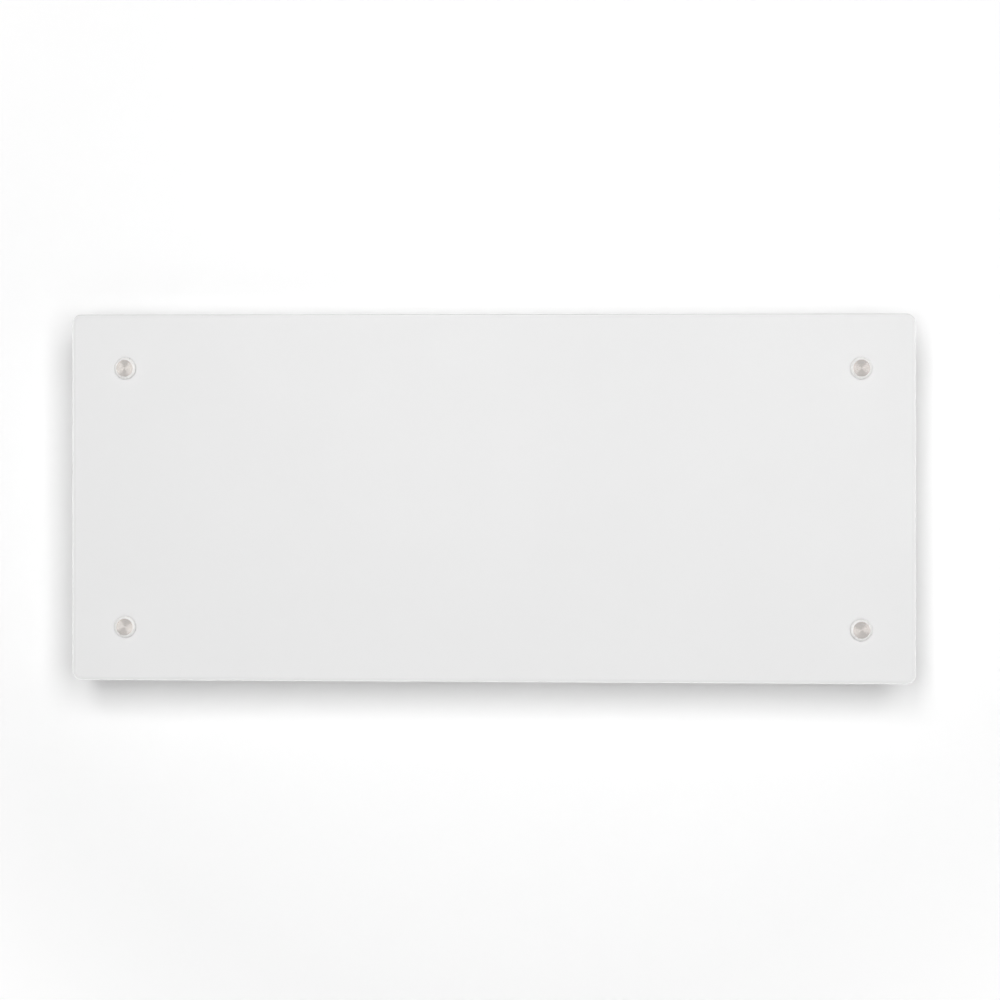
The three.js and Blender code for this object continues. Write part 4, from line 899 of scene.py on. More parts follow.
knob = {
    "radius": 10,
    "rim": 1.1,
    "rimRound": 0.25,
    "faceRadius": 7.8,
    "height": 3.5,
    "faceRound": 0.3,
    "groovePitch": 0.46,
    "grooveDepth": 0.058,
    "pointsInGroove": 6,
    "pipRadius": 0.7,
    "pipDepth": 0.4,
    "studRadius": 3,
    "studLength": 12,
    "plainLength": 2,  # of the stud, without a thread
    "threadPitch": 1,
    "threadDepth": 0.3,
    "facets": 96,
    "coneLeans": (0.3, 0.86),  # the part of a normal that points forward, on the polished cone
    "sharpAngle": 44,
}


def knobProfile():
    radius, height, face, stud, foot = [knob[key] for key in ("radius", "height", "faceRadius", "studRadius",
                                                             "studLength")]
    pitch, depth, rim = knob["threadPitch"], knob["threadDepth"], knob["rim"]
    turnsOfThread = int((foot - knob["plainLength"]) / pitch)
    profile = [(0, -foot), (stud - depth, -foot)]
    profile += threaded(stud, depth, pitch, pitch / 2 - foot, turnsOfThread) + [(stud, 0)]
    profile += bendLine([(stud, 0), (radius, 0), (radius, rim)], knob["rimRound"])[1:]
    profile += bendLine([(radius, rim), (face, height), (0, height)], knob["faceRound"])[1:-1]
    start, pip, dip = profile[-1][0], knob["pipRadius"], knob["pipDepth"]
    count = round((start - pip) / knob["groovePitch"])
    for i in range(1, count * knob["pointsInGroove"] + 1):
        share = i / (count * knob["pointsInGroove"])
        groove = knob["grooveDepth"] * (math.cos(2 * math.pi * count * share) - 1) / 2
        profile.append((start + (pip - start) * share, height + groove))
    return profile + [(pip / 2, height - dip / 2), (0, height - dip)]


def makeKnobs():
    nodes = nodesOf("glass_knob_")
    base = nodeBox(nodes[0])[0].y + knob["height"]
    item = atKnobs(turned(knobProfile(), "front", (0, base, 0), knob["facets"]))
    least, most = knob["coneLeans"]
    painted(item, ["stainlessSteel", "polishedSteel"], lambda face: least < -face.normal.y < most)
    finished(item, "glass_knobs", nodes, knob["sharpAngle"])


makeKnobs()

# Washers between knobs and glass, and spacers behind the glass

washer = {"radius": 9.2, "length": 0.8, "edge": 0.2, "spigotRadius": 4.7, "spigotLength": 3.6, "bore": 3.3}
spacer = {"radius": 8, "length": 8, "edge": 0.6, "spigotRadius": 5, "spigotLength": 3, "bore": 3.3,
          "groove": 0.25, "grooveHalf": 0.5, "grooveFlat": 0.3, "grooveShares": (0.35, 0.65)}


# Bored rings with a spigot that lines the hole behind them
def makeRings(name, start, ring):
    nodes = nodesOf(start)
    radius, length, edge, spigot, bore = [ring[key] for key in ("radius", "length", "edge", "spigotLength",
                                                               "bore")]
    profile = [(bore, -spigot), (ring["spigotRadius"], -spigot), (ring["spigotRadius"], 0),
               (radius - edge, 0), (radius, edge)]
    for share in ring.get("grooveShares", ()):
        flat, half = ring["grooveFlat"], ring["grooveHalf"]
        foot, place = radius - ring["groove"], length * share
        profile += [(radius, place - half), (foot, place - flat), (foot, place + flat),
                    (radius, place + half)]
    profile += [(radius, length - edge), (radius - edge, length), (bore, length), (bore, -spigot)]
    item = turned(profile, "front", (0, nodeBox(nodes[0])[1].y - spigot, 0))
    finished(atKnobs(item), name, nodes)


makeRings("knob_washers", "knob_washer_", washer)
makeRings("glass_spacers", "glass_spacer_", spacer)
print("glass front made")

# Casing: one folded sheet with two beads, inlet slots below and openings in its top

casing = {
    "sheet": 1.2,
    "bend": 2,
    "endDepth": 14,  # of the end caps
    "beadPlace": 45,
    "beadWidth": 12,
    "beadDepth": 2,
    "bossRadius": 12,
    "bossFlare": 2,
    "bossHeight": 4,
    "bossRound": 1.2,
    "bossBore": 5.3,
    "rimDepth": 10,
    "rimShort": 8.5,  # of the rim, at each end of the plate
    "louvreLength": 30,
    "louvreWidth": 5,
    "louvrePitch": 42,
    "louvreRowGap": 14,
    "louvreFromEnd": 31,
    "louvreFromBlock": 18.5,
    "screwHole": 2.05,
    "glandHole": 8.3,
    "sensorHole": 3.3,
}
# Lids of the grille and the fascia on the casing top, with a wall that hangs through the opening
lid = {"height": 1.5, "round": 0.7, "ease": 0.3, "corner": 3, "flange": 4, "gap": 0.5, "seat": 0.3,
       "wallCorner": 1.5, "wallEase": 0.4}
casingLow, casingHigh = nodeBox("rear_casing")
sheetEnd = casingHigh.x
backY, frontY = casingHigh.y, nodeBox("left_end_cap")[0].y
middleY = (backY + frontY) / 2
topZ, bottomZ = casingHigh.z, casingLow.z
gland, sensor = nodeCentre("cable_gland"), nodeCentre("room_sensor")
screwX, screwZ = nodeCentre("cap_screw_right_upper").x, nodeCentre("cap_screw_right_upper").z


def rearSection():
    y, z = backY - casing["sheet"] / 2, topZ - casing["sheet"] / 2
    near, far = casing["beadWidth"] / 2, casing["beadWidth"] / 2 + casing["beadDepth"]
    crest = y + casing["beadDepth"]
    line = [(casingLow.y, z), (y, z)]
    for place in (casing["beadPlace"], -casing["beadPlace"]):
        line += [(y, place + far), (crest, place + near), (crest, place - near), (y, place - far)]
    return line + [(y, -z), (casingLow.y, -z)]


def topOpening(node):
    low, high = nodeBox(node)
    edge = lid["flange"]
    return box((low.x + edge, high.x - edge), (low.y + edge, high.y - edge),
               (topZ - 2 * overrun, topZ + overrun))


# Inlet slots: a row under the element, repeated for the second row. It lies between the left cap and the
# terminal block, in the middle of that length
def louvres():
    pitch, gap = casing["louvrePitch"], casing["louvreRowGap"]
    first = casing["louvreFromEnd"] - sheetEnd
    room = nodeBox("terminal_block")[0].x - casing["louvreFromBlock"] - first
    slot = extruded(slotOutline(casing["louvreLength"], casing["louvreWidth"]), casing["sheet"] + 2 * overrun,
                    "up", (0, 0, bottomZ - overrun))
    row = inRow(slot, int(room // pitch) + 1, (first + room % pitch / 2, middleY - gap / 2, 0), (pitch, 0, 0))
    return inRow(row, 2, (0, 0, 0), (0, gap, 0))


def makeRearCasing():
    shell = folded(rearSection(), casing["sheet"], casing["bend"], 2 * sheetEnd, "right", (-sheetEnd, 0, 0))
    deep, below = casing["sheet"] + 2 * overrun, bottomZ - overrun
    screws = rod(casing["screwHole"], deep, "front", (0, backY + overrun, 0), facets["tiny"])
    tools = [topOpening("outlet_grille"), topOpening("control_fascia"), louvres(),
             rod(casing["glandHole"], deep, "up", (gland.x, middleY, below), facets["bore"]),
             rod(casing["sensorHole"], deep, "up", (sensor.x, middleY, below)),
             fourCorners(screws, screwX, screwZ)]
    finished(cut(shell, tools), "casing_shell", ["rear_casing"])


def makeFrontPlate():
    sheet, radius = casing["sheet"], casing["bossRadius"]
    rimX, rimZ = sheetEnd - casing["rimShort"], nodeBox("front_plate")[1].z - sheet / 2
    edge, face = frontY + casing["rimDepth"], frontY + sheet / 2
    tray = folded([(edge, rimZ), (face, rimZ), (face, -rimZ), (edge, -rimZ)], sheet, casing["bend"], 2 * rimX,
                  "right", (-rimX, 0, 0))
    flatZ = rimZ - casing["bend"]
    flat = box((-sheetEnd, sheetEnd), (frontY, frontY + sheet), (-flatZ, flatZ))
    foot, rise = radius + casing["bossFlare"], sheet + casing["bossHeight"]
    crown = bendLine([(foot + overrun, 0), (foot, 0), (radius, rise), (0, rise)], casing["bossRound"])
    boss = turned([(0, 0)] + crown[1:], "front", (0, frontY + sheet, 0), facets["bore"])
    depth = overrun + casing["bossHeight"]
    hollow = turned([(0, 0), (foot - sheet, 0), (foot - sheet, overrun), (radius - sheet, depth), (0, depth)],
                    "front", (0, frontY + sheet + overrun, 0), facets["bore"])
    bore = rod(casing["bossBore"], rise + overrun, "front", (0, frontY + sheet, 0))
    united(tray, flat, atKnobs(boss))
    cut(tray, [atKnobs(hollow), atKnobs(bore)])
    finished(tray, "casing_front", ["front_plate"])


# End caps: moulded shells with a spigot in the folded sheet

cap = {"corner": 5, "round": 3, "cornerSteps": 8, "wall": 3, "endWall": 2, "cavityCorner": 3.5, "spigot": 8,
       "spigotEase": 0.8, "seat": 0.3, "shadowLine": 0.6, "switchWidth": 18, "switchHeight": 28,
       "switchCorner": 2}


# A block across the casing's section, moved in at its sides, that starts beyond the sheet's end
def acrossEnd(side, inset, corner, levels, start, steps=facets["corner"]):
    return stacked(backY - frontY - 2 * inset, topZ - bottomZ - 2 * inset, corner, levels,
                   "right" if side > 0 else "left", (side * (sheetEnd + start), middleY, 0), steps)


def endCap(side):
    line, ease, spigot, steps = cap["shadowLine"], cap["spigotEase"], cap["spigot"], cap["cornerSteps"]
    levels = [(0, line), (line, 0)] + roundedEnd(casing["endDepth"] - cap["seat"], cap["round"])
    shell = acrossEnd(side, 0, cap["corner"], levels, cap["seat"], steps)
    plug = acrossEnd(side, casing["sheet"] + cap["seat"], cap["corner"] - 1,
                     [(0, ease), (ease, 0), (spigot + cap["wall"], 0)], -spigot, steps)
    depth = spigot + overrun + casing["endDepth"] - cap["endWall"]
    cavity = acrossEnd(side, cap["wall"], cap["cavityCorner"], [(0, 0), (depth, 0)], -spigot - overrun)
    bore = inRow(rod(casing["screwHole"], (backY - frontY) / 2, "front", (side * screwX, backY, -screwZ),
                     facets["tiny"]), 2, (0, 0, 0), (0, 0, 2 * screwZ))
    return cut(united(shell, plug), [cavity, bore])


def makeEndCaps():
    finished(endCap(-1), "end_cap_left", ["left_end_cap"])
    right = endCap(1)
    place = (sheetEnd + casing["endDepth"] - 2 * overrun, middleY, nodeCentre("switch_body").z)
    barrel = stacked(cap["switchWidth"], cap["switchHeight"], cap["switchCorner"], [(0, 0), (3 * overrun, 0)],
                     "right", place)
    finished(cut(right, [barrel]), "end_cap_right", ["right_end_cap"])


# Cap screws: pan heads with a cross recess

screw = {"radius": 1.75, "length": 5, "headRadius": 3.6, "headHeight": 2, "headRound": 0.9, "recess": 0.9,
         "recessLength": 3.8, "recessWidth": 0.9, "threadPitch": 0.8, "threadDepth": 0.25, "tip": 0.4,
         "tipEase": 0.5}


def makeCapScrews():
    nodes = nodesOf("cap_screw_")
    tip = nodeBox(nodes[0])[0].y
    radius, length, pitch = screw["radius"], screw["length"], screw["threadPitch"]
    head, top = screw["headRadius"], length + screw["headHeight"]
    profile = [(0, 0), (radius - screw["tipEase"], 0)]
    profile += threaded(radius, screw["threadDepth"], pitch, screw["tip"], int(length / pitch))
    profile += [(radius, length)] + bendLine([(head, length), (head, top), (0, top)], screw["headRound"])
    item = turned(profile, "back", (0, tip, 0), facets["small"])
    reach, half = screw["recessLength"] / 2, screw["recessWidth"] / 2
    depth = (tip + top - screw["recess"], tip + top + overrun)
    cut(item, [box((-reach, reach), depth, (-half, half)), box((-half, half), depth, (-reach, reach))])
    finished(fourCorners(item, screwX, screwZ), "cap_screws", nodes)


makeRearCasing()
makeFrontPlate()
makeEndCaps()
makeCapScrews()
print("casing made")

# Outlet grille: a lid and frame, curved blades that throw the air forward, ribs and snap hooks

grille = {
    "wall": 2,
    "drop": 12,
    "mouthEase": 0.6,
    "blades": 4,
    "bladeSheet": 1.1,
    "bladeLean": 0.7,
    "bladeSteps": 8,
    "bladeTaper": 0.35,
    "bladeDrop": 1.5,  # of the blades' top under the casing top, and of the ribs' ends inside the blades
    "ribPitch": 62,
    "ribSheet": 1.4,
    "snapLength": 9,
    "snapHeight": 5,
    "snapReach": 1.2,
    "snapLip": 0.6,
    "snapPitch": 130,
}
lidInset = lid["gap"] + lid["flange"]
lidTop = lid["seat"] + lid["height"]


# A lid over the plan of a node, and the wall below it
def lidAndWall(node, drop):
    ease, wallEase = lid["ease"], lid["wallEase"]
    rim = onPlan(node, lid["corner"], [(0, ease), (ease, 0)] + roundedEnd(lid["height"], lid["round"]),
                 foot=topZ + lid["seat"])
    wall = onPlan(node, lid["wallCorner"], [(0, wallEase), (wallEase, 0), (drop + lidTop / 2, 0)], -lidInset,
                  topZ - drop)
    return united(rim, wall)


def makeGrille():
    _, _, middle, size = nodeSpan("outlet_grille")
    drop, ease, inset, wall = grille["drop"], grille["mouthEase"], lidInset + grille["wall"], grille["wall"]
    deep = drop + overrun + lidTop
    mouth = onPlan("outlet_grille", lid["wallCorner"],
                   [(0, 0), (deep - ease, 0), (deep, -ease), (deep + overrun, -ease)], -inset,
                   topZ - drop - overrun)
    body = cut(lidAndWall("outlet_grille", drop), [mouth])
    width, depth = size.x - 2 * inset, size.y - 2 * inset
    foot, end, height = topZ - drop, grille["bladeDrop"], drop - grille["bladeDrop"]
    curve = quadratic((0, 0), (0, height / 2), (-height / 2 * math.tan(grille["bladeLean"]), height),
                      grille["bladeSteps"])
    section = ribbon(curve, lambda share: grille["bladeSheet"] * (1 - grille["bladeTaper"] * share))
    blade = extruded(section, width + wall, "right", (middle.x - (width + wall) / 2, 0, foot))
    blades = inRow(blade, grille["blades"], (0, middle.y + depth / 2 - grille["bladeSheet"], 0),
                   (0, -depth / grille["blades"], 0))
    half, pitch = (depth + wall) / 2, grille["ribPitch"]
    rib = box((0, grille["ribSheet"]), (middle.y - half, middle.y + half), (foot + end, foot + height - end))
    count = int(width / pitch)
    ribs = inRow(rib, count, (middle.x - (count - 1) * pitch / 2, 0, 0), (pitch, 0, 0))
    hooks = snapHooks(middle, size - Vector((2, 2, 0)) * lidInset)
    finished(gathered([body, blades, ribs, hooks]), "outlet_louvre", ["outlet_grille"])


# Hooks under the casing top, in a row along each long side
def snapHooks(middle, size):
    top, pitch, length = topZ - casing["sheet"] - lid["seat"], grille["snapPitch"], grille["snapLength"]
    run, low = int(size.x / pitch / 2) * pitch, top - grille["snapHeight"]
    rows = []
    for side in (1, -1):
        face = middle.y + side * size.y / 2
        wall, lip = face - side * grille["wall"] / 2, face + side * grille["snapReach"]
        hook = extruded([(wall, top), (lip, top), (lip, top - grille["snapLip"]), (face, low), (wall, low)],
                        length, "right", (-length / 2, 0, 0))
        rows.append(inRow(hook, 2 * run // pitch + 1, (middle.x - run, 0, 0), (pitch, 0, 0)))
    return gathered(rows)


# Control unit: its fascia, window, buttons and what lies under them

control = {
    "drop": 4,
    "slack": 0.3,
    "windowCorner": 2,
    "windowEdge": 0.3,
    "windowLedge": 1,
    "buttonCorner": 2,
    "buttonRound": 0.9,
    "buttonFlange": 1.2,
    "buttonDrop": 1,  # of the flange's top, and the slack, under the casing top
    "growth": (0.5, 1),  # of the flange beyond the button's sides
    "stem": 2,
    "stemRise": 0.5,  # of the stem's top in the flange
    "dish": 0.35,
    "dishWidth": 0.9,
    "mark": 3.6,
    "markWidth": 0.7,
    "markSink": 0.2,
    "markRise": 0.08,
}
buttonNodes = ["button_minus", "button_mode", "button_plus"]


def makeFascia():
    under, slack = topZ - 2 * control["drop"], control["slack"]
    sill, ledge = nodeBox("display_window")[0].z, control["windowLedge"]
    foot = sill - lid["seat"]
    tools = [plateOn("display_window", control["windowCorner"], 2 * overrun + lid["seat"], slack, foot),
             plateOn("display_window", ledge, sill + overrun - under, slack - ledge, under)]
    for node in buttonNodes:
        guide = tuple(slack - growth for growth in control["growth"])
        for out, top in ((guide, topZ + 2 * overrun), (slack, topZ - control["buttonDrop"])):
            tools.append(plateOn(node, control["buttonCorner"], top - under, out, under))
    finished(cut(lidAndWall("control_fascia", control["drop"]), tools), "fascia", ["control_fascia"])


# Generic marks: a bar, a cross of two bars, and a ring
def markOn(node, x, y, z):
    reach, width = control["mark"] / 2, control["markWidth"]
    height = (z - control["markSink"], z + control["markRise"])
    if node == "button_mode":
        return hoop(reach - width, reach, *height, "up", (x, y, 0))
    bar = box((x - reach, x + reach), (y - width / 2, y + width / 2), height)
    if node == "button_plus":
        united(bar, box((x - width / 2, x + width / 2), (y - reach, y + reach), height))
    return bar


def makeButton(node):
    low, high = nodeBox(node)
    x, y = (low.x + high.x) / 2, (low.y + high.y) / 2
    corner, height, dish = control["buttonCorner"], control["buttonFlange"], control["dish"]
    foot = topZ - control["buttonDrop"] - control["slack"] - height
    levels = [(0, 0)] + roundedEnd(high.z - foot, control["buttonRound"])
    levels += [(levels[-1][0] - dish, levels[-1][1] + control["dishWidth"])]
    head = onPlan(node, corner, levels, tuple(-growth for growth in control["growth"]), foot)
    stem = rod(control["stem"], foot + control["stemRise"] - low.z, "up", (x, y, low.z),
               facets["tiny"])
    mark = markOn(node, x, y, high.z - dish)
    key = united(head, plateOn(node, corner, height, 0, foot), stem)
    finished(assembled([(key, "greyPlastic"), (mark, "markInk")]), node.replace("button", "key"), [node])


makeGrille()
makeFascia()
pane = blockOn("display_window", control["windowCorner"], control["windowEdge"])
finished(pane, "window", ["display_window"])
for node in buttonNodes:
    makeButton(node)
print("grille and control unit made")

# Power switch: a bezel with a rocker that bears the marks of on and off

switch = {"bezelCorner": 2, "bezel": 2, "bezelRound": 1, "barrelWidth": 17, "barrelHeight": 27,
          "barrelDepth": 20, "barrelCorner": 1, "ease": 0.5, "wall": 1.4, "floor": 3, "tab": 0.8,
          "tabWidth": 6.3, "tabLength": 7, "tabPlace": 6.75, "pivotDepth": 1.6, "trunnion": 1.4,
          "trunnionLength": 0.8, "tilt": 8, "hub": 3.2, "endRise": 3.6, "midRise": 2.4, "endDrop": 1.2,
          "endGap": 0.8, "gap": 0.3, "rockerEdge": 0.3, "sharp": 50, "faceSteps": 12, "hubTurn": 120,
          "hubSteps": 8, "tabSink": 1, "mark": 4.2, "markWidth": 0.6, "markPlace": 6.7,
          "markSink": 0.6, "markRise": 0.12}
switchMiddle = nodeCentre("switch_body")
pivot = Vector((sheetEnd + casing["endDepth"] - switch["pivotDepth"], middleY, switchMiddle.z))


def makeSwitchBody():
    size = nodeSpan("switch_body")[3]
    depth, bezel, ease, corner = [switch[key] for key in ("barrelDepth", "bezel", "ease", "barrelCorner")]
    face = pivot.x + switch["pivotDepth"] + switch["gap"]
    rear = face - depth
    rim = stacked(size.y, size.z, switch["bezelCorner"], [(0, 0)] + roundedEnd(bezel, switch["bezelRound"]),
                  "right", (face, pivot.y, pivot.z))
    barrel = stacked(switch["barrelWidth"], switch["barrelHeight"], corner,
                     [(0, ease), (ease, 0), (depth + bezel / 2, 0)], "right", (rear, pivot.y, pivot.z))
    well = Vector((switch["barrelWidth"], switch["barrelHeight"])) - Vector((2, 2)) * switch["wall"]
    deep = depth + bezel - switch["floor"]
    levels = [(0, 0), (deep - ease, 0), (deep, -ease), (deep + overrun, -ease)]
    pocket = stacked(well.x, well.y, corner, levels, "right", (rear + switch["floor"], pivot.y, pivot.z))
    axle = well.x + 2 * (switch["trunnionLength"] + switch["gap"])
    sockets = rod(switch["trunnion"] + switch["gap"], axle, "front", (pivot.x, pivot.y + axle / 2, pivot.z),
                  facets["tiny"])
    half, place = switch["tabWidth"] / 2, switch["tabPlace"]
    tab = box((rear - switch["tabLength"], rear + switch["tabSink"]), (pivot.y - half, pivot.y + half),
              (0, switch["tab"]))
    tabs = inRow(tab, 2, (0, 0, pivot.z - place - switch["tab"]), (0, 0, 2 * place + switch["tab"]))
    item = gathered([cut(united(rim, barrel), [pocket, sockets]), tabs])
    finished(item, "switch_housing", ["switch_body"])


# A bar and a ring, each laid along the hollow face at its own half of the rocker
def switchMarks(reach):
    half, long = switch["markWidth"] / 2, switch["mark"] / 2
    low, high = -switch["markSink"], switch["markRise"]
    bar = box((low, high), (-half, half), (-long, long))
    ring = hoop(long - 2 * half, long, low, high, "right")
    place, bow = switch["markPlace"], switch["endRise"] - switch["midRise"]
    share = place / reach
    rise, lean = switch["midRise"] + bow * share ** 2, math.degrees(math.atan(2 * bow * share / reach))
    return gathered([moved(bar, rise, 0, place, ("Y", lean)), moved(ring, rise, 0, -place, ("Y", -lean))])


# The rocker is drawn about its pivot, then tilted as it rests
def makeRocker():
    reach = switch["barrelHeight"] / 2 - switch["wall"] - switch["endGap"]
    rise, drop = switch["endRise"], -switch["endDrop"]
    outline = quadratic((rise, -reach), (2 * switch["midRise"] - rise, 0), (rise, reach), switch["faceSteps"])
    turn = switch["hubTurn"]
    outline += [(drop, reach)] + arc((0, 0), switch["hub"], turn, turn, switch["hubSteps"]) + [(drop, -reach)]
    width = switch["barrelWidth"] - 2 * (switch["wall"] + switch["gap"])
    body = softened(extruded(outline, width, "front", (0, width / 2, 0)), switch["rockerEdge"],
                    switch["sharp"])
    axle = width + 2 * (switch["gap"] + switch["trunnionLength"])
    item = united(body, rod(switch["trunnion"], axle, "front", (0, axle / 2, 0), facets["tiny"]))
    item = assembled([(item, "blackPlastic"), (switchMarks(reach), "markInk")])
    moved(item, *pivot, ("Y", -switch["tilt"]))
    finished(item, "rocker_key", ["switch_rocker"])


# Cable gland: thread, hexagons and a ribbed dome, bored through

entry = {"bore": 4.5, "thread": 8, "threadPitch": 1.5, "threadDepth": 0.5, "hex": 11, "hexHeight": 6,
         "hexShare": 0.86, "hexEase": 1.1, "hexSlack": 0.2, "dome": 8.5, "domeHeight": 9, "domeRound": 3,
         "lip": 1.5, "nut": 5, "seat": 0.3, "grips": 18, "grip": 0.5, "gripRoot": 0.3, "gripWidth": 0.9}


# A hexagon with the corners of both faces turned off
def hexagon(low, height):
    radius, slack, ease = entry["hex"], entry["hexSlack"], entry["hexEase"]
    body = rod(radius, height, "up", (gland.x, middleY, low), 6)
    edge, wide = entry["hexShare"] * radius, radius + slack
    cone = turned([(0, -slack), (edge, -slack), (wide, ease), (wide, height - ease), (edge, height + slack),
                   (0, height + slack)], "up", (gland.x, middleY, low))
    return combined(body, [cone], "INTERSECT")


def makeGland():
    outside, inside = bottomZ - entry["seat"], bottomZ + casing["sheet"] + entry["seat"]
    hexFoot, top = outside - entry["hexHeight"], inside + entry["nut"] + entry["lip"]
    foot, wide, turn = hexFoot - entry["domeHeight"], entry["dome"], entry["domeRound"]
    radius, depth, bore, pitch = entry["thread"], entry["threadDepth"], entry["bore"], entry["threadPitch"]
    profile = bendLine([(bore, foot), (wide, foot), (wide, hexFoot)], turn) + [(radius - depth, hexFoot)]
    profile += threaded(radius, depth, pitch, hexFoot + pitch / 2, int((top - hexFoot) / pitch))
    profile += [(radius - depth, top), (bore, top), (bore, foot)]
    core = turned(profile, "up", (gland.x, middleY, 0))
    bored = rod(bore, top - foot + 2 * overrun, "up", (gland.x, middleY, foot - overrun))
    nuts = cut(gathered([hexagon(hexFoot, entry["hexHeight"]), hexagon(inside, entry["nut"])]), [bored])
    half = entry["gripWidth"] / 2
    grip = box((wide - entry["gripRoot"], wide + entry["grip"]), (-half, half), (foot + turn, hexFoot))
    grips = inRing(grip, entry["grips"], (gland.x, middleY, 0), (0, 0, 1))
    finished(gathered([core, nuts, grips]), "gland", ["cable_gland"])


makeSwitchBody()
makeRocker()
makeGland()
print("switch and gland made")

# Wall bracket: an H of folded sheet with hooks at the foot of its flanges

bracket = {"sheet": 1.5, "spacing": 400, "width": 34, "flange": 15, "chamfer": 6, "cross": 70,
           "crossFlange": 12, "corner": 3, "pinY": -11, "hookRadius": 8, "hookLip": 4, "hookSteps": 14,
           "mouthRise": 14, "slotWidth": 5, "slotLength": 11, "upperSlotDrop": 57, "lowerSlotRise": 54,
           "levelSlot": 90, "rivetDrop": 6, "gap": 0.3, "edge": 0.25}
rivet = {"radius": 2.5, "head": 5, "height": 1.5, "dimple": 1.2, "dimpleDepth": 0.5, "steps": 8,
         "crown": (0.8, 1.1), "floorShare": 0.7}
uprightX = bracket["spacing"] / 2
bracketLow, bracketHigh = nodeBox("wall_bracket")
rivetZ = bracketHigh.z - bracket["rivetDrop"]
_, _, pinMiddle, pinSize = nodeSpan("hanger_pin_left")
pinZ, pinRadius, pinY = pinMiddle.z, pinSize.y / 2, bracket["pinY"]


def hookOutline():
    seat, top = pinRadius + bracket["gap"], bracketHigh.z
    depth, chamfer = bracket["flange"], bracket["chamfer"]
    mouth, radius, lip = pinZ + bracket["mouthRise"], bracket["hookRadius"], bracket["hookLip"]
    start = math.degrees(math.asin(lip / radius))
    outline = [(0, top), (chamfer - depth, top), (-depth, top - chamfer), (-depth, mouth + chamfer),
               (pinY + seat, mouth)]
    outline += arc((pinY, pinZ), seat, 0, -180, bracket["hookSteps"]) + [(pinY - seat, pinZ + lip)]
    return outline + arc((pinY, pinZ), radius, 180 - start, 90 + start, bracket["hookSteps"]) + [
        (0, pinZ - radius)]


def bracketOutline():
    outer, inner = uprightX + bracket["width"] / 2, uprightX - bracket["width"] / 2
    top, foot, cross = bracketHigh.z, bracketLow.z, bracket["cross"] / 2
    upper = [(outer, top), (inner, top), (inner, cross), (-inner, cross), (-inner, top), (-outer, top)]
    lower = [(-outer, foot), (-inner, foot), (-inner, -cross), (inner, -cross), (inner, foot), (outer, foot)]
    return bendLine(upper + lower, bracket["corner"], True)


# The tool for a slot through sheet that lies on the wall
def slotTool(length, width, upright, z=0):
    tool = extruded(slotOutline(length, width), bracket["sheet"] + 2 * overrun, "front", (0, overrun, 0))
    return moved(tool, 0, 0, z, ("Y", 90 if upright else 0))


def makeBracket():
    sheet, width, edge = bracket["sheet"], bracket["width"], bracket["cross"] / 2
    plate = extruded(bracketOutline(), sheet, "front")
    flange = inRow(extruded(hookOutline(), sheet, "right"), 2, (-width / 2, 0, 0), (width - sheet, 0, 0))
    inner = uprightX - (width - sheet) / 2
    webs = inRow(box((-inner, inner), (-bracket["crossFlange"], 0), (-sheet / 2, sheet / 2)), 2,
                 (0, 0, sheet / 2 - edge), (0, 0, 2 * edge - sheet))
    united(plate, leftAndRight(flange, uprightX), webs)
    slot = bracket["slotLength"], bracket["slotWidth"]
    tools = [leftAndRight(slotTool(*slot, False), bracket["levelSlot"])]
    for height in (bracketHigh.z - bracket["upperSlotDrop"], pinZ + bracket["lowerSlotRise"]):
        tools.append(leftAndRight(slotTool(*slot, True), uprightX, height))
    hole = rod(rivet["radius"] + bracket["gap"], sheet + 2 * overrun, "front", (0, overrun, rivetZ))
    tools.append(leftAndRight(hole, uprightX))
    finished(softened(cut(plate, tools), bracket["edge"]), "bracket", ["wall_bracket"])


# Sliding catches, each one folded strip, and the rivets that guide them

catch = {"sheet": 1.5, "width": 26, "travel": 8, "height": 46, "tab": 15, "gap": 1.5, "bend": 2, "slide": 0.5,
         "edge": 0.25, "tabRound": 3}
striker = {"sheet": 1.5, "width": 22, "base": 22, "drop": 32, "reach": 8, "lip": 8, "bend": 2, "corner": 3,
           "weldDrop": 14, "weldPitch": 12}
armTop = bracketHigh.z - striker["drop"]


def makeCatch(side, x):
    sheet, width = catch["sheet"], catch["width"]
    back = -(bracket["sheet"] + bracket["gap"] + sheet / 2)
    nose = -(striker["reach"] + striker["sheet"] + catch["gap"] + sheet / 2)
    noseZ = armTop + striker["lip"] + catch["slide"]
    arm = noseZ + catch["travel"] + sheet / 2
    top = arm + catch["height"]
    strip = folded([(-catch["tab"], top), (back, top), (back, arm), (nose, arm), (nose, noseZ)], sheet,
                   catch["bend"], width, "right", (x - width / 2, 0, 0))
    hole = 2 * (rivet["radius"] + bracket["gap"])
    slot = moved(slotTool(catch["travel"] + hole, hole, True), x, -bracket["sheet"],
                 rivetZ + catch["travel"] / 2)
    plan = stacked(width, 2 * catch["tab"], catch["tabRound"], [(0, 0), (2 * catch["height"], 0)], "up",
                   (x, 0, noseZ - overrun))
    item = softened(combined(cut(strip, [slot]), [plan], "INTERSECT"), catch["edge"])
    finished(item, "catch_slide_" + side, ["catch_" + side])


def makeRivets():
    shank = 2 * bracket["sheet"] + bracket["gap"]
    head, height, dimple = rivet["head"], rivet["height"], rivet["dimple"]
    top, floor = shank + height, shank + height - rivet["dimpleDepth"]
    profile = [(0, 0), (rivet["radius"], 0), (rivet["radius"], shank)]
    out, up = rivet["crown"]
    profile += quadratic((head, shank), (head * out, shank + height * up), (dimple, top), rivet["steps"])
    profile += [(dimple * rivet["floorShare"], floor), (0, floor)]
    item = leftAndRight(turned(profile, "front", (0, -bracket["gap"], rivetZ), facets["small"]), uprightX)
    finished(item, "catch_rivets", nodesOf("catch_rivet"))


# Strikers and hangers on the back of the casing, with their hinge pins

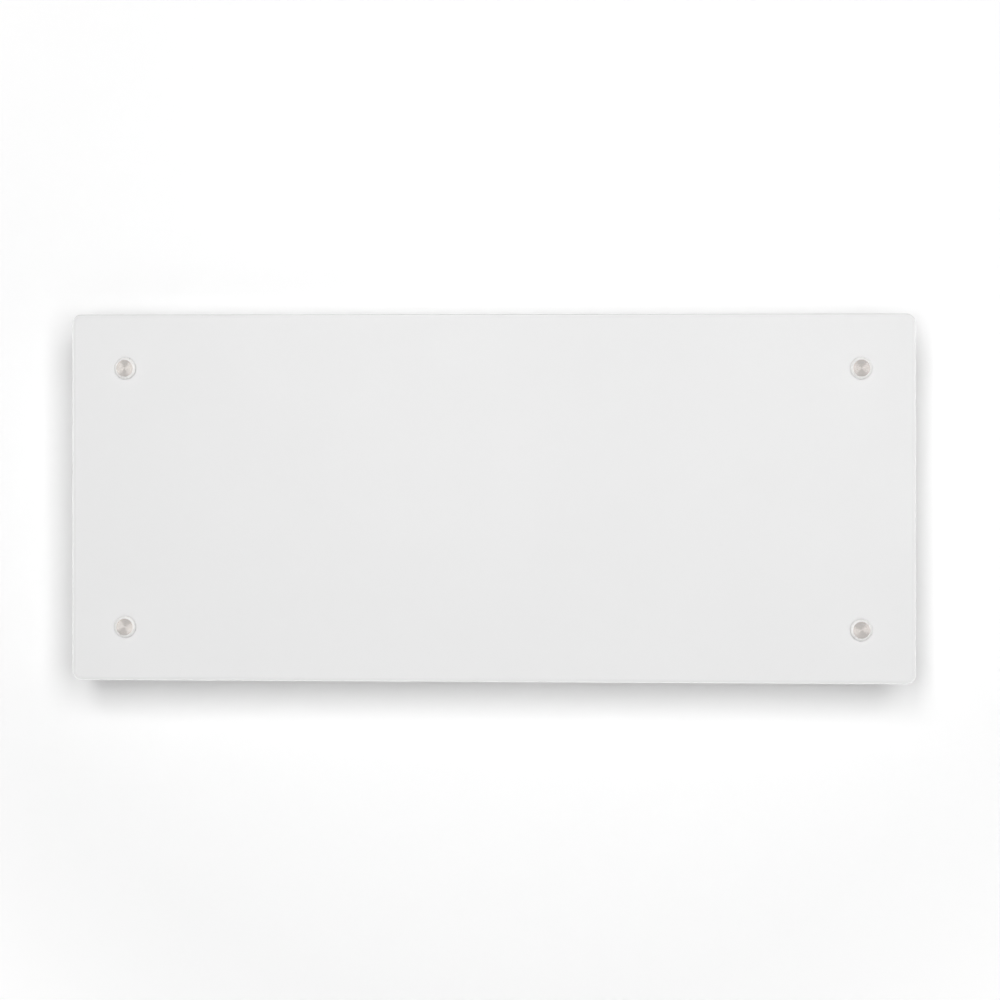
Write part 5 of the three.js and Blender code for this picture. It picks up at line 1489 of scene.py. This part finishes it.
hanger = {"sheet": 1.5, "width": 25, "height": 32, "ear": 6.5, "earTurn": 60, "earSteps": 14, "bend": 2,
          "seat": 0.3, "edge": 0.25, "weldPlace": 9, "weldPitch": 10}
weld = {"radius": 2.6, "height": 0.35, "sink": 0.2, "crownShare": 0.7, "dimpleShare": 0.6, "facets": 20}
pin = {"chamfer": 0.6, "groove": 0.3, "grooveEase": 0.1, "grooveWidth": 0.8, "groovePlace": 2.4}


def makeStrikers():
    half, width, base = striker["sheet"] / 2, striker["width"], striker["base"]
    back, lip = backY + hanger["seat"] + half, -(striker["reach"] + half)
    line = [(back, armTop - base), (back, armTop - half), (lip, armTop - half),
            (lip, armTop + striker["lip"])]
    strip = folded(line, striker["sheet"], striker["bend"], width, "right", (-width / 2, 0, 0))
    tall = base + striker["lip"]
    plan = stacked(width, tall, striker["corner"], [(0, 0), (4 * base, 0)], "front",
                   (0, 0, armTop - base + tall / 2))
    item = softened(combined(strip, [plan], "INTERSECT"), hanger["edge"])
    welds = spotWelds(back - half, armTop - striker["weldDrop"], striker["weldPitch"])
    finished(gathered([leftAndRight(item, uprightX), welds]), "strikers", nodesOf("striker"))


# Two raised weld buttons on each plate
def spotWelds(y, z, pitch):
    radius, height, sink = weld["radius"], weld["height"], weld["sink"]
    button = turned([(0, -sink), (radius, -sink), (radius, 0), (radius * weld["crownShare"], height),
                     (0, height * weld["dimpleShare"])], "back", (0, y, z), weld["facets"])
    return leftAndRight(inRow(button, 2, (-pitch / 2, 0, 0), (pitch, 0, 0)), uprightX)


def makeHangers():
    sheet, width, radius, half = hanger["sheet"], hanger["width"], hanger["ear"], hanger["height"] / 2
    base, edge = backY + hanger["seat"], (width - sheet) / 2
    fold, shoulder, tip = base + sheet / 2, base + sheet, pinY + radius + overrun
    channel = folded([(-edge, tip), (-edge, fold), (edge, fold), (edge, tip)], sheet, hanger["bend"],
                     2 * half, "up", (0, 0, pinZ - half))
    ear = [(base, pinZ + half), (shoulder, pinZ + half)]
    ear += arc((pinY, pinZ), radius, hanger["earTurn"], -2 * hanger["earTurn"], hanger["earSteps"])
    ear += [(shoulder, pinZ - half), (base, pinZ - half)]
    item = combined(channel, [extruded(ear, width, "right", (-width / 2, 0, 0))], "INTERSECT")
    across = width + overrun
    bore = rod(pinRadius + bracket["gap"], across, "right", (-across / 2, pinY, pinZ))
    item = softened(cut(item, [bore]), hanger["edge"])
    welds = [spotWelds(shoulder, pinZ + side * hanger["weldPlace"], hanger["weldPitch"]) for side in (1, -1)]
    finished(gathered([leftAndRight(item, uprightX)] + welds), "hangers", ["hanger_left", "hanger_right"])


def makeHingePins():
    length, chamfer, ease, wide = pinSize.x, pin["chamfer"], pin["grooveEase"], pin["grooveWidth"]
    inner = pinRadius - pin["groove"]
    profile = [(0, 0), (pinRadius - chamfer, 0), (pinRadius, chamfer)]
    for place in (pin["groovePlace"], length - pin["groovePlace"] - wide):
        profile += [(pinRadius, place), (inner, place + ease), (inner, place + wide - ease),
                    (pinRadius, place + wide)]
    profile += [(pinRadius, length - chamfer), (pinRadius - chamfer, length), (0, length)]
    item = turned(profile, "right", (-length / 2, pinY, pinZ), facets["small"])
    finished(leftAndRight(item, uprightX), "hinge_pins", nodesOf("hanger_pin"))


makeBracket()
for side, x in (("left", -uprightX), ("right", uprightX)):
    makeCatch(side, x)
makeRivets()
makeStrikers()
makeHangers()
makeHingePins()
print("bracket, catches and hangers made")

# Heating element: an extruded X of curved, ridged fins round a sheath, slit to let it expand

element = {"sheathEnd": 24, "sheath": 4, "hub": 6.5, "hubFacets": 40, "reach": 14, "rise": 31, "root": 3,
           "tip": 1.6, "steps": 40, "ridges": 8, "ridge": 0.22, "slitWidth": 3, "slitPitch": 44,
           "slitStart": 13, "crimp": 0.35, "crimpWidth": 1.6, "crimpPlaces": (5, 10)}
elementLow, elementHigh = nodeBox("heating_element")
elementZ = (elementLow.z + elementHigh.z) / 2
finLeft, finRight = elementLow.x + element["sheathEnd"], elementHigh.x - element["sheathEnd"]


def finThickness(share):
    ridge = element["ridge"] * math.sin(2 * math.pi * element["ridges"] * share)
    return element["root"] + (element["tip"] - element["root"]) * share + ridge


def finCurve(depth, rise):
    start = (depth * element["hub"] / 2, rise * element["hub"] / 2)
    elbow = (depth * element["reach"], rise * element["slitStart"])
    return quadratic(start, elbow, (elbow[0], rise * element["rise"]), element["steps"])


# The sheath, crimped near both ends
def sheathProfile(length):
    radius, crimp, width = element["sheath"], element["crimp"], element["crimpWidth"]
    end = [(0, 0), (radius - crimp, 0), (radius, crimp)]
    for place in element["crimpPlaces"]:
        end += [(radius, place), (radius - crimp, place + crimp), (radius - crimp, place + width - crimp),
                (radius, place + width)]
    return end + [(r, length - h) for r, h in reversed(end)]


def makeElement():
    length, start = finRight - finLeft, (finLeft, middleY, elementZ)
    arms = [extruded(ribbon(finCurve(depth, rise), finThickness), length, "right", start)
            for depth, rise in ((-1, 1), (1, 1), (1, -1), (-1, -1))]
    hub = rod(element["hub"], length, "right", start, element["hubFacets"])
    sheath = turned(sheathProfile(elementHigh.x - elementLow.x), "right", (elementLow.x, middleY, elementZ),
                    facets["small"])
    body = united(hub, sheath, *arms)
    count = int(length / element["slitPitch"])
    first = (finLeft + finRight - (count - 1) * element["slitPitch"]) / 2
    half, reach = element["slitWidth"] / 2, element["reach"] + element["root"]
    low, high = element["slitStart"], element["rise"] + overrun
    tools = []
    for heights in ((elementZ + low, elementZ + high), (elementZ - high, elementZ - low)):
        slit = box((-half, half), (middleY - reach, middleY + reach), heights)
        tools.append(inRow(slit, count, (first, 0, 0), (element["slitPitch"], 0, 0)))
    finished(cut(body, tools), "finned_element", ["heating_element"])


# Bushes on the sheath, and the stands that hold them

stand = {"sheet": 1.2, "bend": 2, "foot": 16, "height": 44, "reach": 31, "nose": 14.6, "noseSteps": 24,
         "bore": 6.8, "seat": 0.3, "gap": 0.5, "edge": 0.2, "hole": 2.2, "holeFacets": 20, "holeRise": 16,
         "holeShare": 0.6}
bush = {"bore": 4.3, "radius": 8.5, "neck": 6.5, "flange": 2.4, "round": 0.7}


def makeBushes():
    nodes = nodesOf("element_bush")
    length = nodeSpan(nodes[0])[3].x
    bore, radius, neck, flange = [bush[key] for key in ("bore", "radius", "neck", "flange")]
    profile = bendLine([(bore, 0), (radius, 0), (radius, flange), (neck, flange), (neck, length - flange),
                        (radius, length - flange), (radius, length), (bore, length)], bush["round"], True)
    item = turned(profile + profile[:1], "right", (-length / 2, 0, 0), facets["bore"])
    finished(atPair(item, nodes), "element_bushes", nodes)


def makeStand(side, node):
    low, high = nodeBox(node)
    sheet, half, back, foot = stand["sheet"], stand["height"] / 2, backY - casing["sheet"], stand["foot"]
    x = low.x + sheet / 2 if side > 0 else high.x - sheet / 2
    y, shoulder = back - stand["seat"] - sheet / 2, back - sheet - stand["gap"]
    strip = folded([(side * foot, y), (0, y), (0, y - stand["reach"])], sheet, stand["bend"], 2 * half, "up",
                   (0, 0, elementZ - half))
    outline = [(back, elementZ + half), (shoulder, elementZ + half)]
    outline += arc((middleY, elementZ), stand["nose"], 90, 180, stand["noseSteps"])
    outline += [(shoulder, elementZ - half), (back, elementZ - half)]
    width = 3 * foot
    strip = combined(strip, [extruded(outline, width, "right", (-width / 2, 0, 0))], "INTERSECT")
    tools = [rod(stand["bore"], width, "right", (-width / 2, middleY, elementZ))]
    for rise in (-stand["holeRise"], stand["holeRise"]):
        place = (side * foot * stand["holeShare"], back + sheet, elementZ + rise)
        tools.append(rod(stand["hole"], 4 * sheet, "front", place, stand["holeFacets"]))
    item = moved(softened(cut(strip, tools), stand["edge"]), x)
    finished(item, node.replace("element_stand", "stand"), [node])


# Heat shield, overheat cut-out and the shelf it hangs through

shield = {"sheet": 0.6, "bend": 1, "foot": 8, "lift": 2.6, "rib": 1.2, "ribWidth": 8}
cutout = {"radius": 8, "round": 1.2, "drop": 7, "cap": 5, "capRadius": 6.5, "capRound": 0.5, "facets": 40,
          "earLength": 30, "earWidth": 12, "earCorner": 4, "ear": 1, "earHole": 1.7, "earPlace": 11.5,
          "tabWidth": 6.3, "tabHeight": 7, "tabFoot": 4, "tabCorner": 1.2, "tab": 0.8, "tabHole": 1,
          "tabHoleFacets": 20}
shelf = {"sheet": 1.2, "bend": 2, "width": 40, "reach": 30, "foot": 18, "bore": 8.3, "edge": 0.2, "deep": 6,
         "holeRise": 12, "holePlace": 13}


def makeShield():
    low, high, centre, size = nodeSpan("heat_shield")
    foot, rib, middle, half = shield["foot"], shield["rib"], centre.z, size.z / 2
    face = high.y - shield["sheet"] / 2
    back = face - shield["lift"]
    line = [(face, half), (face, half - foot), (back, half - foot - shield["lift"])]
    near, far = shield["ribWidth"] / 2, shield["ribWidth"] / 2 + rib
    for place in (half / 2, 0):
        line += [(back, place + far), (back - rib, place + near), (back - rib, place - near),
                 (back, place - far)]
    lower = [(y, -z) for y, z in reversed(line[:7])]
    item = folded([(y, middle + z) for y, z in line + lower], shield["sheet"], shield["bend"], size.x,
                  "right", (low.x, 0, 0))
    finished(item, "shield", ["heat_shield"])


def makeCutout():
    low, _, middle, _ = nodeSpan("thermal_cutout")
    x, y, z = middle.x, middle.y, low.z + cutout["drop"]
    drop, ear, radius, neck, top = [cutout[key] for key in ("drop", "ear", "radius", "capRadius", "cap")]
    wall = bendLine([(0, -drop), (radius, -drop), (radius, ear)], cutout["round"])
    cover = bendLine([(radius, ear), (neck, ear), (neck, top), (0, top)], cutout["capRound"])
    cup = turned(wall + cover[1:], "up", (x, y, z), cutout["facets"])
    ears = stacked(cutout["earLength"], cutout["earWidth"], cutout["earCorner"], [(0, 0), (ear, 0)], "up",
                   (x, y, z))
    cut(ears, [leftAndRight(rod(cutout["earHole"], 3 * ear, "up", (x, y, z - ear)), cutout["earPlace"])])
    width, sheet, foot = cutout["tabWidth"], cutout["tab"], cutout["tabFoot"]
    tip, tabs = z + top + cutout["tabHeight"], []
    for edge in (-neck / 2 - sheet, neck / 2):
        tab = stacked(width, width + foot, cutout["tabCorner"], [(0, 0), (sheet, 0)], "right",
                      (x + edge, y, tip - (width + foot) / 2))
        hole = rod(cutout["tabHole"], 4 * sheet, "right", (x + edge - sheet, y, tip - width / 2),
                   cutout["tabHoleFacets"])
        tabs.append(cut(tab, [hole]))
    item = assembled([(cup, "blackPlastic"), (gathered([ears] + tabs), "zincPlate")])
    finished(item, "overheat_cutout", ["thermal_cutout"])


def makeShelf():
    low, high, middle, _ = nodeSpan("cutout_shelf")
    sheet, deep = shelf["sheet"], shelf["deep"]
    z, y = low.z + sheet / 2, high.y - sheet / 2
    strip = folded([(y, z + shelf["foot"]), (y, z), (y - shelf["reach"], z)], sheet, shelf["bend"],
                   shelf["width"], "right", (low.x, 0, 0))
    hole = rod(stand["hole"], deep, "front", (middle.x, y + deep / 2, z + shelf["holeRise"]),
               stand["holeFacets"])
    tools = [rod(shelf["bore"], deep, "up", (middle.x, middleY, z - deep / 2), facets["bore"]),
             leftAndRight(hole, shelf["holePlace"])]
    finished(softened(cut(strip, tools), shelf["edge"]), "shelf", ["cutout_shelf"])


makeElement()
makeBushes()
for side, node in ((-1, "element_stand_left"), (1, "element_stand_right")):
    makeStand(side, node)
makeShield()
makeCutout()
makeShelf()
print("heating parts made")

# Leads in woven sleeves, terminal block and room sensor

lead = {"bend": 12, "sides": 20, "end": 0.3, "radius": 1.4, "supplyRadius": 2.2, "supplyDrop": 63.4}
terminals = {"poles": 3, "step": 5, "pocket": 2.2, "pocketDepth": 5, "facets": 28, "screw": 1.9,
             "screwDrop": 1.4, "screwEdge": 0.15, "screwSink": 0.1, "slot": 0.5, "slotReach": 3,
             "slotDepth": 0.8, "edge": 0.35, "entry": 1.5, "entryRise": 5, "groove": 0.6, "grooveDepth": 1,
             "passing": 1}
probe = {"radius": 3, "flange": 4.5, "flangeRise": 8.5, "flangeHeight": 1.5, "round": 1.5, "facets": 36,
         "vents": 8, "ventWidth": 0.6, "ventHeight": 3, "ventRise": 2, "ventDepth": 0.6, "ventReach": 1}


def makeLead(node, radius, points):
    item = closed(swept(points, radius, lead["sides"], lead["bend"], "leadSleeve"))
    finished(item, node.replace("lead", "sleeve"), [node])


def makeLeads():
    radius = lead["radius"]
    low, high = nodeBox("element_lead_live")
    corner = (high.x - radius, middleY, elementZ)
    makeLead("element_lead_live", radius, [(low.x, middleY, elementZ), corner, (corner[0], middleY, low.z)])
    low, high = nodeBox("element_lead_neutral")
    left, foot = low.x + radius, low.z + radius
    makeLead("element_lead_neutral", radius, [(elementLow.x - lead["end"], middleY, elementZ),
                                              (left, middleY, elementZ), (left, middleY, foot),
                                              (high.x, middleY, foot)])
    radius = lead["supplyRadius"]
    low, high = nodeBox("supply_lead")
    left, right, level = low.x + radius, high.x - radius, high.z - lead["supplyDrop"]
    makeLead("supply_lead", radius, [(left, middleY, low.z), (left, middleY, level),
                                     (right, middleY, level), (right, middleY, high.z)])


def makeTerminals():
    low, high, _, size = nodeSpan("terminal_block")
    poles, depth, deep = terminals["poles"], terminals["pocketDepth"], terminals["grooveDepth"]
    half, top, pole, passing = size.y / 2, size.z, size.x / poles, terminals["passing"]
    step, first, pitch = top - terminals["step"], (low.x + pole / 2, 0, 0), (pole, 0, 0)
    outline = [(-half, 0), (half, 0), (half, step), (half / 2, step), (half / 2, top), (-half / 2, top),
               (-half / 2, step), (-half, step)]
    bar = softened(extruded(outline, size.x, "right", (low.x, middleY, low.z)), terminals["edge"])
    pocket = rod(terminals["pocket"], depth + overrun, "down", (0, middleY, high.z + overrun),
                 terminals["facets"])
    entry = rod(terminals["entry"], half, "front",
                (0, middleY - half / 2 - passing, low.z + terminals["entryRise"]), facets["tiny"])
    width, across = terminals["groove"] / 2, half + passing
    groove = box((-width, width), (middleY - across, middleY + across), (high.z - deep, high.z + deep))
    cut(bar, [inRow(pocket, poles, first, pitch), inRow(entry, poles, first, pitch),
              inRow(groove, poles - 1, (low.x + pole, 0, 0), pitch)])
    drop, sink, slot, reach = [terminals[key] for key in ("screwDrop", "screwSink", "slot", "slotReach")]
    head = rod(terminals["screw"], depth - drop + sink, "up", (0, middleY, high.z - depth - sink),
               terminals["facets"])
    slit = box((-slot / 2, slot / 2), (middleY - reach, middleY + reach),
               (high.z - drop - terminals["slotDepth"], high.z))
    screws = inRow(softened(cut(head, [slit]), terminals["screwEdge"]), poles, first, pitch)
    finished(assembled([(bar, "whitePlastic"), (screws, "zincPlate")]), "terminals", ["terminal_block"])


def makeProbe():
    low, _, _, size = nodeSpan("room_sensor")
    radius, flange, rise, height = probe["radius"], probe["flange"], probe["flangeRise"], size.z
    crest, half, foot = rise + probe["flangeHeight"], probe["ventWidth"] / 2, low.z + probe["ventRise"]
    tip = bendLine([(0, 0), (radius, 0), (radius, rise)], probe["round"])
    profile = tip + [(flange, rise), (flange, crest), (radius, crest), (radius, height), (0, height)]
    body = turned(profile, "up", (sensor.x, middleY, low.z), probe["facets"])
    vent = box((radius - probe["ventDepth"], radius + probe["ventReach"]), (-half, half),
               (foot, foot + probe["ventHeight"]))
    cut(body, [inRing(vent, probe["vents"], (sensor.x, middleY, 0), (0, 0, 1))])
    finished(body, "sensor_probe", ["room_sensor"])


makeLeads()
makeTerminals()
makeProbe()
print("leads, terminals and sensor made")

# Control unit under the fascia: housing, board with its keys, display, relay, capacitor and radio

unit = {"wall": 1.8, "corner": 3, "round": 1.2, "roundShare": 0.35, "ledge": 2, "ledgeHeight": 3, "seat": 0.3}
circuit = {"sheet": 1.6, "drop": 14, "hole": 1.1, "holeFacets": 20, "holeInset": 3, "holeDepth": 6,
           "keySize": 6, "keyHeight": 3.4, "keyEdge": 0.25, "plunger": 1.7, "plungerHeight": 1.2,
           "plungerEdge": 0.3, "legPlaces": ((-2.6, 2), (-3.8, 2.8)), "legWidth": 0.6, "legSize": 1,
           "legSink": 0.05}
screen = {"corner": 0.8, "round": 0.5, "bezel": 1.2, "drop": 0.25, "recess": 0.4, "recessCorner": 0.5,
          "flare": 0.2, "gap": 0.1, "sheet": 0.4, "sink": 0.05}
relay = {"corner": 0.8, "round": 0.6}
capacitor = {"neckShare": 0.2, "neckHalf": 0.8, "neckDepth": 0.6, "round": 0.3, "facets": 36}
radio = {"sheet": 1, "corner": 0.5, "share": 0.7, "can": 2.4, "canCorner": 0.6, "canRound": 0.3, "sink": 0.1}
boardTop = topZ - circuit["drop"]


def makeHousing():
    low, high, middle, size = nodeSpan("control_housing")
    wall, corner, turn, ledge = unit["wall"], unit["corner"], unit["round"], unit["ledge"]
    ease = unit["roundShare"] * turn
    outer = onPlan("control_housing", corner, [(0, turn), (ease, ease), (turn, 0), (size.z, 0)])
    shell = cut(outer, [plateOn("control_housing", corner - wall / 2, size.z, -wall, low.z + wall)])
    top, reach = boardTop - circuit["sheet"] - unit["seat"], size.x / 2 - wall / 2
    ledges = [box(ends, (low.y + wall / 2, high.y - wall / 2), (top - unit["ledgeHeight"], top))
              for ends in ((middle.x - reach, middle.x - reach + wall / 2 + ledge),
                           (middle.x + reach - wall / 2 - ledge, middle.x + reach))]
    finished(united(shell, *ledges), "unit_housing", ["control_housing"])


def makeBoard():
    low, high, middle, size = nodeSpan("control_board")
    sheet, inset = plateOn("control_board", unit["corner"], circuit["sheet"]), circuit["holeInset"]
    cut(sheet, [leftAndRight(rod(circuit["hole"], circuit["holeDepth"], "up", (middle.x, y, low.z - overrun),
                                 circuit["holeFacets"]), size.x / 2 - inset)
                for y in (low.y + inset, high.y - inset)])
    first, last = nodeCentre("button_minus"), nodeCentre("button_plus")
    count, start, step = len(buttonNodes), (first.x, first.y, 0), ((last.x - first.x) / 2, 0, 0)
    half, keyTop = circuit["keySize"] / 2, boardTop + circuit["keyHeight"]
    case = softened(box((-half, half), (-half, half), (boardTop, keyTop)), circuit["keyEdge"])
    radius, rise, edge = circuit["plunger"], circuit["plungerHeight"], circuit["plungerEdge"]
    stem = turned([(0, 0), (radius, 0), (radius, rise - edge), (radius - edge, rise), (0, rise)], "up",
                  (0, 0, keyTop), facets["tiny"])
    width, long, (across, along) = circuit["legWidth"], circuit["legSize"], circuit["legPlaces"]
    leg = gathered(box((x, x + width), (y, y + long), (boardTop - circuit["legSink"], boardTop + long))
                   for x in across for y in along)
    item = assembled([(sheet, "circuitBoard"), (inRow(case, count, start, step), "zincPlate"),
                      (inRow(leg, count, start, step), "stainlessSteel"),
                      (inRow(stem, count, start, step), "blackPlastic")])
    finished(item, "keyboard", ["control_board"])


def makeDisplay():
    node, corner, bezel = "display_module", screen["recessCorner"], screen["bezel"]
    floor = nodeBox(node)[1].z - screen["drop"] - screen["recess"]
    body = blockOn(node, screen["corner"], screen["round"])
    cut(body, [onPlan(node, corner, [(0, 0), (overrun, -screen["flare"])], -bezel, floor)])
    pane = plateOn(node, corner, screen["sheet"], -bezel - screen["gap"], floor - screen["sink"])
    finished(assembled([(body, "blackPlastic"), (pane, "smokedPlastic")]), "display", [node])


def makeUnderParts():
    finished(blockOn("relay", relay["corner"], relay["round"]), "power_relay", ["relay"])
    _, high, middle, size = nodeSpan("supply_capacitor")
    radius, height, half, depth = size.x / 2, size.z, capacitor["neckHalf"], capacitor["neckDepth"]
    neck = height * capacitor["neckShare"]
    line = [(0, 0), (radius, 0), (radius, neck - half), (radius - depth, neck), (radius, neck + half),
            (radius, height), (0, height)]
    item = turned(bendLine(line, capacitor["round"]), "down", (middle.x, middle.y, high.z),
                  capacitor["facets"])
    finished(item, "capacitor", ["supply_capacitor"])
    low, _, _, size = nodeSpan("radio_module")
    sheet = plateOn("radio_module", radio["corner"], radio["sheet"])
    levels = [(0, 0)] + roundedEnd(radio["can"] + radio["sink"], radio["canRound"])
    out = (size.x * (radio["share"] - 1) / 2, size.y * (radio["share"] - 1) / 2)
    can = onPlan("radio_module", radio["canCorner"], levels, out, low.z + radio["sheet"] - radio["sink"])
    finished(assembled([(sheet, "circuitBoard"), (can, "zincPlate")]), "radio", ["radio_module"])


makeHousing()
makeBoard()
makeDisplay()
makeUnderParts()
print("control unit made")
